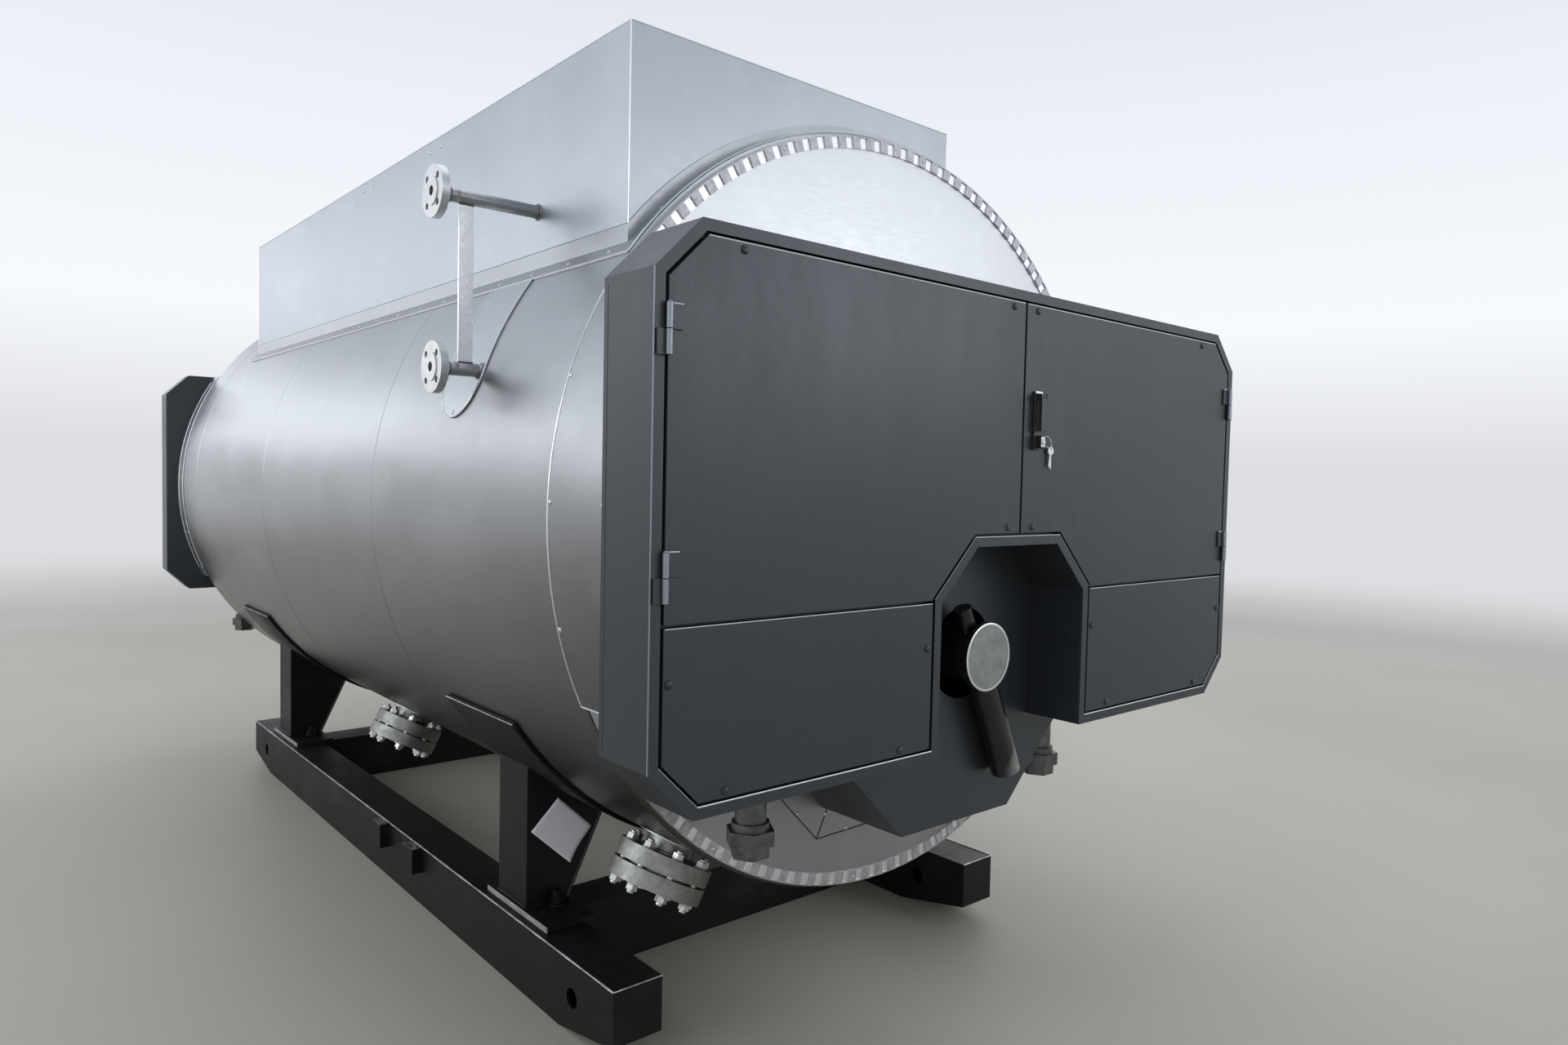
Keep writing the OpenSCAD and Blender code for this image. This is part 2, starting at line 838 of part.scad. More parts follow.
// The cowl's front opening, moved in by d from the cowl and by t from the tunnel
module opening_2d(d, t) {
    difference() {
        polygon(cowl_outline(d));
        polygon(tunnel_outline(t));
    }
}

// Strip round the doors and panels, with the hinges' fixed leaves
module cowl_frame() {
    color(cowl_color)
        union() {
            prism(face_y, sheet_t)
                difference() {
                    opening_2d(0, 0);
                    opening_2d(strip_w, strip_w);
                }
            for (right = [false, true], z = [hinge_low, hinge_high])
                side(right)
                    frame_leaf(z);
        }
}

module cowl_skin() {
    color(cowl_color)
        prism(face_y + sheet_t, cowl_d - 2 * sheet_t)
            difference() {
                opening_2d(0, sheet_t);
                polygon(cowl_outline(sheet_t));
            }
}

// Flat frame behind the doors and panels, with the rail between them
module cowl_rebate() {
    color(cowl_color)
        prism(face_y + panel_d, sheet_t)
            union() {
                difference() {
                    opening_2d(sheet_t, sheet_t);
                    opening_2d(strip_w + rebate_w, strip_w + rebate_w);
                }
                intersection() {
                    opening_2d(sheet_t, sheet_t);
                    translate([-cowl_hw, door_line - rebate_w])
                        square([2 * cowl_hw, 2 * rebate_w]);
                }
            }
}

module cowl_back() {
    color(cowl_color)
        prism(face_y + cowl_d - sheet_t, sheet_t)
            difference() {
                opening_2d(0, sheet_t);
                polygon(cowl_outline(back_flange));
            }
}

module frame_leaf(z) {
    half = hinge_l / 2;
    box(-cowl_hw + sheet_t, -hinge_x - knuckle_r / 3, face_y - leaf_t, face_y + sheet_t / 2,
        z - half, z - play);
    translate([-hinge_x, hinge_y, z - half])
        cylinder(r = knuckle_r, h = half - play);
    translate([-hinge_x, hinge_y, z - half])
        cylinder(r = pin_r, h = hinge_l - pin_r);
}

module door_leaf(z) {
    half = hinge_l / 2;
    difference() {
        union() {
            box(-hinge_x + knuckle_r / 3, -hinge_x + leaf_w, face_y - leaf_t,
                face_y + sheet_t / 2, z, z + half);
            translate([-hinge_x, hinge_y, z])
                cylinder(r = knuckle_r, h = half);
        }
        translate([-hinge_x, hinge_y, z - past])
            cylinder(r = pin_r + pin_fit, h = half + 2 * past);
    }
}

module tunnel_lining() {
    color(cowl_color)
        intersection() {
            prism(face_y + sheet_t, cowl_d - sheet_t)
                ring_2d(tunnel_outline(sheet_t), tunnel_outline(0));
            box(-cowl_hw, cowl_hw, face_y, face_y + cowl_d, cowl_bottom, cowl_top);
        }
}

// Left door's outline, moved in by d
module door_2d(d) {
    edge = strip_w + door_gap + d;
    intersection() {
        opening_2d(edge, edge);
        translate([-cowl_hw, door_line + door_gap / 2 + d])
            square([cowl_hw - door_gap / 2 - d, cowl_top]);
    }
}

// Left lower panel's outline, moved in by d
module panel_2d(d) {
    edge = strip_w + door_gap + d;
    intersection() {
        opening_2d(edge, edge);
        translate([-cowl_hw, cowl_bottom])
            square([cowl_hw, door_line - door_gap / 2 - d - cowl_bottom]);
    }
}

module door(right) {
    color(cowl_color)
        side(right)
            union() {
                prism(face_y, sheet_t)
                    door_2d(0);
                for (z = [hinge_low, hinge_high])
                    door_leaf(z);
            }
}

// Edge folded back round a door's sheet
module door_edge(right) {
    color(cowl_color)
        side(right)
            prism(face_y + sheet_t, door_d - sheet_t)
                difference() {
                    door_2d(0);
                    door_2d(sheet_t);
                }
}

module lower_panel(right) {
    color(cowl_color)
        side(right)
            difference() {
                prism(face_y, panel_d)
                    panel_2d(0);
                prism(face_y + sheet_t, panel_d)
                    panel_2d(sheet_t);
            }
}

// Handle on the right door

module handle_base() {
    color(black_color)
        difference() {
            union() {
                box(handle_x - handle_w / 2, handle_x + handle_w / 2, face_y - handle_t, face_y,
                    handle_bottom, handle_top);
                for (x = [-ear_x - ear_t, ear_x])
                    box(handle_x + x, handle_x + x + ear_t, pivot_y - boss_r, face_y,
                        pivot_z - boss_r, pivot_z + boss_r);
                box(handle_x - lever_w / 2, handle_x + lever_w / 2,
                    pivot_y - lever_t / 2, face_y,
                    handle_bottom + ear_t, handle_bottom + ear_t + lock_h);
            }
            translate([handle_x - handle_w, pivot_y, pivot_z])
                rotate([0, 90, 0])
                    cylinder(r = lever_pin_r + pin_fit, h = 2 * handle_w);
        }
}

module handle_lever() {
    color(black_color)
        union() {
            translate([handle_x - lever_w / 2, pivot_y, pivot_z])
                rotate([0, 90, 0])
                    cylinder(r = boss_r, h = lever_w);
            translate([handle_x - ear_x - ear_t, pivot_y, pivot_z])
                rotate([0, 90, 0])
                    cylinder(r = lever_pin_r, h = 2 * (ear_x + ear_t));
            box(handle_x - lever_w / 2, handle_x + lever_w / 2,
                pivot_y - lever_t / 2, pivot_y + lever_t / 2, pivot_z - lever_l, pivot_z);
        }
}

// Burner box and stub

module burner_box() {
    color(cowl_color)
        difference() {
            prism(plate_y, cowl_gap + end_face)
                polygon(burner_outline(0));
            prism(plate_y + burner_t, cowl_gap + end_face)
                polygon(burner_outline(burner_t));
            translate([0, plate_y - past, burner_z])
                rotate([-90, 0, 0])
                    cylinder(d = burner_hole_d, h = burner_t + 2 * past);
        }
}

module burner_stub() {
    color(iron_color)
        difference() {
            union() {
                translate([0, plate_y - blind_out, burner_z])
                    rotate([-90, 0, 0]) {
                        cylinder(d = blind_d, h = blind_t);
                        cylinder(d = stub_d, h = blind_out + cowl_gap + end_face);
                    }
                translate([0, branch_y, burner_z])
                    rotate([0, 180 - branch_tilt, 0])
                        cylinder(d = branch_d, h = branch_l);
                translate([0, branch_y, burner_z])
                    rotate([0, -branch_tilt, 0])
                        cylinder(d = nipple_d, h = nipple_l);
            }
            translate([0, branch_y, burner_z])
                rotate([0, 180 - branch_tilt, 0])
                    translate([0, 0, stub_d / 2 + blind_t])
                        cylinder(d = branch_bore_d, h = branch_l);
        }
}

// Smoke boxes between the barrel's ends and the cowls

module smoke_box(depth) {
    color(jacket_color)
        union() {
            intersection() {
                barrel_cylinder(jacket_r, hem_y - depth, depth);
                box(-jacket_r, jacket_r, hem_y - depth, hem_y, smoke_bottom, smoke_top);
            }
            intersection() {
                barrel_cylinder(hem_r - tab_w - seat, hem_y - past, end_face + past);
                box(-jacket_r, jacket_r, hem_y - past, hem_y + end_face, smoke_bottom, smoke_top);
            }
        }
}

module front_smoke_box() {
    difference() {
        smoke_box(cowl_gap);
        prism(plate_y - past, cowl_gap + end_face + 2 * past)
            polygon(burner_outline(0));
    }
}

module side_covers(depth) {
    reach = 2 * jacket_r;
    front = hem_y - depth + cover_gap;
    length = depth - cover_gap + cover_lap;
    color(jacket_color)
        intersection() {
            difference() {
                barrel_cylinder(jacket_r + seat + cover_t, front, length);
                barrel_cylinder(jacket_r + seat, front - past, length + 2 * past);
            }
            box(-reach, reach, front, front + length, cover_low, cover_high);
        }
}

// Drains, each hanging from the flat bottom of a smoke box

module drain(x, y) {
    color(iron_color)
        translate([x, y, drain_z])
            difference() {
                union() {
                    cylinder(d = drain_d, h = drain_l);
                    cylinder(r = union_low_af / sqrt(3), h = union_low_h + past, $fn = 6);
                    translate([0, 0, union_low_h])
                        cylinder(r = union_af / sqrt(3), h = union_h, $fn = 6);
                    translate([0, 0, union_low_h + union_h - past])
                        cylinder(d = collar_d, h = collar_h + past);
                }
                translate([0, 0, -past])
                    cylinder(d = drain_bore_d, h = drain_l - bore_end + past);
            }
}

// Rear cowl

module rear_cowl_frame() {
    back_y = rear_cowl_y + rear_cowl_d;
    color(cowl_color)
        union() {
            prism(rear_cowl_y, rear_cowl_d)
                ring_2d(cowl_outline(0), cowl_outline(sheet_t));
            prism(rear_cowl_y, sheet_t)
                polygon(cowl_outline(0));
            prism(back_y - sheet_t, sheet_t)
                ring_2d(cowl_outline(0), cowl_outline(strip_w));
            prism(back_y - panel_d - sheet_t, sheet_t)
                ring_2d(cowl_outline(sheet_t / 2), cowl_outline(strip_w + rebate_w));
        }
}

module rear_panel_2d(d) {
    intersection() {
        polygon(cowl_outline(strip_w + door_gap + d));
        translate([-cowl_hw, cowl_bottom])
            square([cowl_hw - door_gap / 2 - d, cowl_top]);
    }
}

module rear_cowl_panels() {
    back_y = rear_cowl_y + rear_cowl_d;
    color(cowl_color)
        for (right = [false, true])
            side(right)
                difference() {
                    prism(back_y - panel_d, panel_d)
                        rear_panel_2d(0);
                    prism(back_y - panel_d - past, panel_d - sheet_t + past)
                        rear_panel_2d(sheet_t);
                }
}

skid_beam(false);  // skid_beam_left
skid_beam(true);  // skid_beam_right
cross_member(hem_y + saddle_front - cross_lead);  // cross_member_front
cross_member(rear_y - saddle_rear - 2 * cross_lead);  // cross_member_rear
saddle(hem_y + saddle_front, false);  // saddle_front_left
saddle(hem_y + saddle_front, true);  // saddle_front_right
saddle(rear_y - saddle_rear, false);  // saddle_rear_left
saddle(rear_y - saddle_rear, true);  // saddle_rear_right
jacket_course(hem_l, seam_1);  // jacket_course_1
jacket_course(seam_1, seam_2);  // jacket_course_2
jacket_course(seam_2, seam_3);  // jacket_course_3
jacket_course(seam_3, jacket_l - hem_l);  // jacket_course_4
front_end();
at_rear() front_end();  // rear_end
hem();  // front_hem
at_rear() hem();  // rear_hem
top_box_walls();
top_box_roof();
top_box_flashing();
gauge_nozzle_upper();
gauge_nozzle_lower();
gauge_brace();
gauge_patch();
handhole_neck(hole_y_front, false);  // handhole_neck_front_left
handhole_neck(hole_y_front, true);  // handhole_neck_front_right
handhole_neck(hole_y_rear, false);  // handhole_neck_rear_left
handhole_neck(hole_y_rear, true);  // handhole_neck_rear_right
handhole_cover(hole_y_front, false);  // handhole_cover_front_left
handhole_cover(hole_y_front, true);  // handhole_cover_front_right
handhole_cover(hole_y_rear, false);  // handhole_cover_rear_left
handhole_cover(hole_y_rear, true);  // handhole_cover_rear_right
cowl_frame();
cowl_skin();
cowl_rebate();
cowl_back();
tunnel_lining();
door(false);  // left_door
door_edge(false);  // left_door_edge
door(true);  // right_door
door_edge(true);  // right_door_edge
lower_panel(false);  // left_lower_panel
lower_panel(true);  // right_lower_panel
handle_base();
handle_lever();
burner_box();
burner_stub();
front_smoke_box();
at_rear() smoke_box(rear_gap);  // rear_smoke_box
side_covers(cowl_gap);  // front_side_covers
at_rear() side_covers(rear_gap);  // rear_side_covers
drain(-drain_left, hem_y - drain_y);  // front_drain_left
drain(drain_right, hem_y - drain_y);  // front_drain_right
drain(-drain_rear, rear_y + rear_gap / 2);  // rear_drain
rear_cowl_frame();
rear_cowl_panels();
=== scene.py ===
"""Looks of a horizontal steam boiler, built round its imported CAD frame. Metres, +Z up.

The boiler stands on z = 0, with its burner end towards -Y and its level gauge towards -X.
"""
import math
import random

import bmesh
import bpy
from mathutils import Matrix, Vector, noise


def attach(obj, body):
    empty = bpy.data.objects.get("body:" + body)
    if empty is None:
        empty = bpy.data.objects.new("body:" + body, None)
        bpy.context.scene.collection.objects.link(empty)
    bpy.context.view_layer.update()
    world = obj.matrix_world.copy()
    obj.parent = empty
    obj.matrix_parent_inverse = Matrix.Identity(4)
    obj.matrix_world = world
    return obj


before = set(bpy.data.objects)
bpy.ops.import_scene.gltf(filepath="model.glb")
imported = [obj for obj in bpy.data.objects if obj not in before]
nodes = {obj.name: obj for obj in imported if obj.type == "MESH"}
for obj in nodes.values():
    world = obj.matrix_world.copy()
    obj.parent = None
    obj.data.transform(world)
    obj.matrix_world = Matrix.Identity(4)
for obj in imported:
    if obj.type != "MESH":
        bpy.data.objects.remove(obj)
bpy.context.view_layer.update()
rng = random.Random(11)

# Sizes of the CAD part that the dressing is placed by

# Along the boiler: front hem, face and back of the front cowl, rear hem, rear cowl
HEM_Y = -1.5325
FACE_Y = HEM_Y - 0.365
PLATE_Y = HEM_Y - 0.225
REAR_Y = HEM_Y + 3.220
REAR_COWL_Y = REAR_Y + 0.110

# Barrel, its covers and its hems
AXIS_Z = 1.145
JACKET_R = 0.846
PATCH_R = JACKET_R + 0.003
COVER_R = 0.8488
COVER_Z = (0.802, 1.580)
HEM_R = 0.838

# Top box
BOX_X = (-0.670, 0.230)
BOX_Y = (HEM_Y + 0.055, HEM_Y + 2.730)
BOX_TOP = 2.075

# Level gauge. The neck of each flange ends at NECK_X.
GAUGE_X = -0.903
GAUGE_Y = HEM_Y + 0.420
GAUGE_Z = (1.785, 1.435)
NECK_X = GAUGE_X + 0.018 + 0.020
PATCH_LOW = 1.340
PATCH_HALF = 0.095

# Hand holes. HOLE_FLANGES are the outer faces of the two flanges, from the jacket.
HOLE_Y = (HEM_Y + 0.270, HEM_Y + 1.820)
HOLE_ANGLE = 28
HOLE_NECK_R = 0.0575
HOLE_BOLT_R = 0.090
HOLE_FLANGES = (0.030, 0.108)

# Skid and saddles. A web's foot runs from WEB_OUT to WEB_IN, its top in to WEB_TOP.
BEAM_OUT = 0.620
BEAM_W = 0.120
BEAM_TOP = 0.165
BEAM_Y = (HEM_Y + 0.150, REAR_Y - 0.220)
BASE_OUT = 0.602
BASE_T = 0.015
BASE_Z = BEAM_TOP + BASE_T / 2
BASE_TOP = BEAM_TOP + BASE_T
SADDLE_Y = (HEM_Y + 0.600, HEM_Y + 2.600)
SADDLE_D = 0.150
WEB_OUT, WEB_IN, WEB_TOP = 0.590, 0.480, 0.386
WEAR_R = 0.8563
WEAR_HIGH = 57

# Front cowl, its hinges, screws and handle
COWL_HW = 0.885
COWL_TOP = 1.610
COWL_BOTTOM = 0.700
COWL_CUT = 0.084
PANEL_TOP = 0.9978
TUNNEL_SIDE = (0.254, 1.005)
TUNNEL_TOP = (0.140, 1.119)
HINGE_X, HINGE_Z = 0.863, (1.075, 1.438)
DOOR_SCREWS = ((0.722, 1.5745), (0.039, 1.5745), (0.040, 1.1365))
PANEL_SCREWS = ((0.850, 0.915), (0.273, 0.915), (0.740, 0.736), (0.342, 0.736))
HANDLE_X = 0.042
HANDLE_TOP = 1.412
LOCK_Y = FACE_Y - 0.0190

# Burner stub and its sloping branch
BURNER_Z = 0.862
BRANCH_TILT = math.radians(24)
BRANCH_AXIS = Vector((math.sin(BRANCH_TILT), 0, -math.cos(BRANCH_TILT)))
BRANCH_END = Vector((0, PLATE_Y - 0.035, BURNER_Z)) + BRANCH_AXIS * 0.290
BLIND_Y = PLATE_Y - 0.071

# Painted shade on the cladding, darker towards the bottom: its upper and lower height, its rise
# per metre, its colour
SHADE_TOP, SHADE_LOW, SHADE_SLOPE = 1.30, 0.52, 0.08
SHADE_COLOUR = (0.072, 0.066, 0.058)

SIDES = ((1, "left"), (-1, "right"))
HORIZON = (0.72, 0.73, 0.75)


# Camera

def make_camera():
    """The photograph's camera, as solved from the barrel's rim, the cowl, the box and the skid."""
    yaw = math.radians(40.8082)
    pitch = math.radians(-2.45512)
    roll = math.radians(1.22939)
    eye = Vector((-1.69236, -3.12706, 1.22336))
    ahead = Vector((math.sin(yaw) * math.cos(pitch), math.cos(yaw) * math.cos(pitch),
                    math.sin(pitch)))
    level = Vector((math.cos(yaw), -math.sin(yaw), 0))
    above = level.cross(ahead)
    right = math.cos(roll) * level + math.sin(roll) * above
    up = -math.sin(roll) * level + math.cos(roll) * above
    data = bpy.data.cameras.new("camera")
    data.sensor_width = 36
    data.sensor_fit = "HORIZONTAL"
    data.lens = 23.153
    data.clip_start = 0.05
    data.clip_end = 200
    cam = bpy.data.objects.new("camera", data)
    turn = Matrix((right, up, -ahead)).transposed().to_4x4()
    cam.matrix_world = Matrix.Translation(eye) @ turn
    bpy.context.scene.collection.objects.link(cam)
    bpy.context.scene.camera = cam


make_camera()


# Materials

class Shader:
    """A Principled material whose inputs are fed by small node chains."""

    def __init__(self, name, metallic=0.0):
        self.mat = bpy.data.materials.new(name)
        self.mat.use_nodes = True
        self.tree = self.mat.node_tree
        self.bsdf = self.tree.nodes["Principled BSDF"]
        self.bsdf.inputs["Metallic"].default_value = metallic
        self.where = self.node("ShaderNodeTexCoord").outputs["Object"]

    def node(self, kind, inputs=None, **settings):
        """Adds a node. Each input is a socket to link or a value to set."""
        made = self.tree.nodes.new(kind)
        for key, value in settings.items():
            setattr(made, key, value)
        for key, value in (inputs or {}).items():
            if isinstance(value, bpy.types.NodeSocket):
                self.tree.links.new(value, made.inputs[key])
            else:
                made.inputs[key].default_value = value
        return made

    def math(self, operation, a, b=0.0):
        return self.node("ShaderNodeMath", {0: a, 1: b}, operation=operation).outputs[0]

    def product(self, first, *others):
        for factor in others:
            first = self.math("MULTIPLY", first, factor)
        return first

    def apart(self, a, b):
        """How far a value is from another."""
        return self.math("ABSOLUTE", self.math("SUBTRACT", a, b))

    def xyz(self):
        return self.node("ShaderNodeSeparateXYZ", {0: self.where}).outputs

    def scaled(self, scale, where=None):
        return self.node("ShaderNodeMapping", {"Vector": where or self.where, "Scale": scale}
                         ).outputs[0]

    def noise(self, scale, detail=3.0, roughness=0.55, where=None):
        return self.node("ShaderNodeTexNoise", {"Vector": where or self.where, "Scale": scale,
                                                "Detail": detail, "Roughness": roughness}
                         ).outputs["Fac"]

    def ramp(self, value, low, high, start=0.0, end=1.0):
        """Turns low..high into start..end and holds it beyond them."""
        return self.node("ShaderNodeMapRange", {"Value": value, "From Min": low, "From Max": high,
                                                "To Min": start, "To Max": end}).outputs[0]

    def mix(self, factor, a, b):
        """Colour a passing into colour b. Each is a socket or three numbers."""
        made = self.node("ShaderNodeMix", data_type="RGBA")
        for index, value in ((0, factor), (6, a), (7, b)):
            if isinstance(value, bpy.types.NodeSocket):
                self.tree.links.new(value, made.inputs[index])
            elif index == 0:
                made.inputs[index].default_value = value
            else:
                made.inputs[index].default_value = (*value, 1.0)
        return made.outputs[2]

    def feed(self, name, value):
        self.tree.links.new(value, self.bsdf.inputs[name])

    def bump(self, chain):
        """chain: (height, distance) pairs, from the broadest to the finest."""
        normal = None
        for height, distance in chain:
            inputs = {"Height": height, "Distance": distance, "Strength": 1.0}
            if normal is not None:
                inputs["Normal"] = normal
            normal = self.node("ShaderNodeBump", inputs).outputs[0]
        self.feed("Normal", normal)


def barrel_coordinates(s):
    """Arc length round the barrel and length along it, as one vector."""
    x, y, z = s.xyz()
    angle = s.math("ARCTAN2", x, s.math("SUBTRACT", z, AXIS_Z))
    arc = s.product(angle, JACKET_R)
    return s.node("ShaderNodeCombineXYZ", {0: arc, 1: y, 2: 0.0}).outputs[0]


def sheet_metal(name, light, dark, rough, curved=False, waves=0.0012, painted_shade=0.0):
    """Satin rolled sheet with grain, smears and the soft dents of hand-fitted cladding.
    painted_shade is how much painted shade darkens the underside."""
    s = Shader(name, metallic=1.0)
    where = barrel_coordinates(s) if curved else s.where
    grain_scale = (18.0, 900.0, 18.0) if curved else (26.0, 26.0, 900.0)
    grain = s.noise(1.0, 2.0, 0.6, s.scaled(grain_scale, where))
    speck = s.noise(900.0, 2.0, 0.7)
    smear = s.noise(1.0, 5.0, 0.62, s.scaled((2.2, 1.1, 2.2), where))
    fine_smear = s.noise(1.0, 6.0, 0.7, s.scaled((9.0, 4.0, 9.0), where))
    broad = s.noise(0.9, 2.0, 0.5, where)
    colour = s.mix(s.ramp(smear, 0.36, 0.66), dark, light)
    pale = [min(1.0, c * 1.12) for c in light]
    colour = s.mix(s.ramp(fine_smear, 0.56, 0.74, 0.0, 0.45), colour, pale)
    colour = s.mix(s.ramp(speck, 0.35, 0.65, 0.0, 0.22), colour, dark)
    # Painted shade: the colour darkens from the upper height down to the lower one, its edge
    # wavering with the smears.
    if painted_shade:
        _, y, z = s.xyz()
        height = s.math("ADD", z, s.product(y, SHADE_SLOPE))
        height = s.math("ADD", height, s.ramp(smear, 0.3, 0.7, -0.06, 0.06))
        colour = s.mix(s.ramp(height, SHADE_TOP, SHADE_LOW, 0.0, painted_shade), colour, SHADE_COLOUR)
    s.feed("Base Color", colour)
    rough_base = s.ramp(smear, 0.3, 0.7, rough - 0.04, rough + 0.05)
    rough_grain = s.ramp(grain, 0.3, 0.7, -0.04, 0.04)
    s.feed("Roughness", s.math("ADD", rough_base, rough_grain))
    s.bump([(broad, waves * 8), (s.noise(3.4, 2.0, 0.45, where), waves), (grain, 0.00004),
            (speck, 0.00006)])
    return s.mat


def tab_metal(name, between, tab):
    """Hem sheet whose folded tabs are scuffed to a matt grey, with the strip between them left
    bright."""
    s = Shader(name, metallic=1.0)
    y = s.xyz()[1]
    reach = (REAR_Y - HEM_Y) / 2
    on_tab = s.ramp(s.apart(y, (HEM_Y + REAR_Y) / 2), reach - 0.0020, reach - 0.0010)
    scuff = s.noise(1.0, 4.0, 0.65, s.scaled((60.0, 60.0, 60.0)))
    speck = s.noise(700.0, 2.0, 0.7)
    grey = s.mix(s.ramp(scuff, 0.35, 0.65), tab, [c * 1.5 for c in tab])
    pale = s.mix(s.ramp(scuff, 0.40, 0.70, 0.0, 0.4), between, [c * 0.8 for c in between])
    base = s.mix(on_tab, pale, grey)
    s.feed("Base Color", s.mix(s.ramp(speck, 0.4, 0.7, 0.0, 0.25), base, tab))
    s.feed("Roughness", s.ramp(on_tab, 0.0, 1.0, 0.32, 0.50))
    s.bump([(scuff, 0.0004), (speck, 0.00008)])
    return s.mat


def powder_coat(name, colour, rough, scuffs=0.10, flake=0.0):
    """Fine textured powder coat with faint scuffs and dust. flake is its share of metal flake."""
    s = Shader(name, metallic=flake)
    s.bsdf.inputs["Specular IOR Level"].default_value = 0.50
    grain = s.noise(1500.0, 2.0, 0.7)
    cells = s.noise(620.0, 1.0, 0.5)
    scuff = s.noise(1.0, 6.0, 0.68, s.scaled((5.0, 5.0, 2.0)))
    cloud = s.noise(1.6, 3.0, 0.5)
    light = [c * 1.35 + 0.004 for c in colour]
    dark = [c * 0.80 for c in colour]
    base = s.mix(s.ramp(grain, 0.35, 0.7), dark, light)
    base = s.mix(s.ramp(cloud, 0.35, 0.7, 0.0, 0.35), base, [c * 1.25 for c in colour])
    base = s.mix(s.ramp(scuff, 0.60, 0.78, 0.0, scuffs), base, (0.30, 0.31, 0.32))
    s.feed("Base Color", base)
    s.feed("Roughness", s.ramp(s.math("ADD", scuff, s.product(cells, 0.4)), 0.5, 0.95,
                               rough - 0.06, rough + 0.08))
    s.bump([(s.noise(1.1, 1.0, 0.4), 0.0045), (cells, 0.00012), (grain, 0.00010)])
    return s.mat


def brush_paint(name, colour, rough):
    """Satin structural paint over rolled plate, with dust and rubbed spots. It is worn through on
    the outer edges of the saddles' base plates and on top of the beams' lugs."""
    s = Shader(name)
    s.bsdf.inputs["Specular IOR Level"].default_value = 0.26
    skin = s.noise(160.0, 3.0, 0.6)
    plate = s.noise(22.0, 3.0, 0.55)
    dust = s.noise(1.0, 6.0, 0.7, s.scaled((3.0, 3.0, 6.0)))
    chips = s.noise(75.0, 4.0, 0.75)
    scrape = s.noise(1.0, 4.0, 0.7, s.scaled((60.0, 22.0, 240.0)))
    base = s.mix(s.ramp(plate, 0.35, 0.7, 0.0, 0.5), colour, [c * 1.5 + 0.001 for c in colour])
    base = s.mix(s.ramp(dust, 0.52, 0.76, 0.0, 0.14), base, (0.13, 0.125, 0.115))
    wear_and_highlight = s.product(s.ramp(chips, 0.66, 0.72), s.ramp(dust, 0.5, 0.62), 0.5)
    base = s.mix(wear_and_highlight, base, (0.32, 0.31, 0.29))

    x, _, z = s.xyz()
    out = s.math("ABSOLUTE", x)
    base_plate = s.product(s.ramp(s.apart(out, BASE_OUT), 0.004, 0.001),
                           s.ramp(s.apart(z, BASE_Z), BASE_T / 2 - 0.0002, BASE_T / 2 - 0.0010),
                           s.ramp(scrape, 0.30, 0.62, 0.30, 0.85))
    lug = s.product(s.ramp(out, BEAM_OUT + 0.0015, BEAM_OUT + 0.0035),
                    s.ramp(s.apart(z, BEAM_TOP), 0.0030, 0.0015),
                    s.ramp(chips, 0.42, 0.62, 0.05, 0.60))
    s.feed("Base Color", s.mix(s.math("MAXIMUM", base_plate, lug), base, (0.50, 0.50, 0.49)))
    s.feed("Roughness", s.ramp(dust, 0.35, 0.75, rough - 0.07, rough + 0.16))
    s.bump([(plate, 0.0011), (skin, 0.00025)])
    return s.mat


def bare_steel(name, light, dark, rough, mottle=0.5):
    """Turned or bare steel with a faint tarnish."""
    s = Shader(name, metallic=1.0)
    tarnish = s.noise(34.0, 5.0, 0.65)
    fine = s.noise(700.0, 2.0, 0.6)
    colour = s.mix(s.ramp(tarnish, 0.38, 0.66, 0.0, mottle), light, dark)
    colour = s.mix(s.ramp(fine, 0.35, 0.7, 0.0, 0.18), colour, dark)
    s.feed("Base Color", colour)
    s.feed("Roughness", s.ramp(tarnish, 0.3, 0.7, rough - 0.05, rough + 0.10))
    s.bump([(tarnish, 0.0002), (fine, 0.00005)])
    return s.mat


def galvanised_bar(name):
    """Zinc coat with its spangle."""
    s = Shader(name, metallic=0.85)
    cells = s.node("ShaderNodeTexVoronoi", {"Vector": s.where, "Scale": 95.0})
    shade = s.node("ShaderNodeSeparateColor", {0: cells.outputs["Color"]}).outputs[0]
    s.feed("Base Color", s.mix(shade, (0.90, 0.92, 0.94), (0.97, 0.97, 0.98)))
    s.feed("Roughness", s.ramp(shade, 0.0, 1.0, 0.24, 0.40))
    s.bump([(cells.outputs["Distance"], 0.0002), (s.noise(300.0, 2.0), 0.00008)])
    return s.mat


def stub_paint(name, worn_end, reach):
    """Black paint that is rubbed to bare steel near one point."""
    s = Shader(name)
    s.bsdf.inputs["Specular IOR Level"].default_value = 0.5
    span = s.node("ShaderNodeVectorMath", {0: s.where, 1: worn_end}, operation="DISTANCE")
    near = s.ramp(span.outputs["Value"], reach, reach * 0.35)
    patch = s.noise(28.0, 5.0, 0.7)
    streak = s.noise(1.0, 3.0, 0.55, s.scaled((70.0, 40.0, 12.0)))
    worn = s.product(near, s.ramp(s.math("ADD", patch, s.product(streak, 0.8)), 0.74, 0.96))
    base = s.mix(s.ramp(patch, 0.4, 0.7, 0.0, 0.6), (0.008, 0.008, 0.009), (0.018, 0.018, 0.019))
    s.feed("Base Color", s.mix(worn, base, (0.60, 0.58, 0.54)))
    s.feed("Metallic", s.product(worn, 0.7))
    s.feed("Roughness", s.ramp(patch, 0.3, 0.7, 0.15, 0.30))
    s.bump([(patch, 0.0006), (s.noise(260.0, 3.0), 0.00015)])
    return s.mat


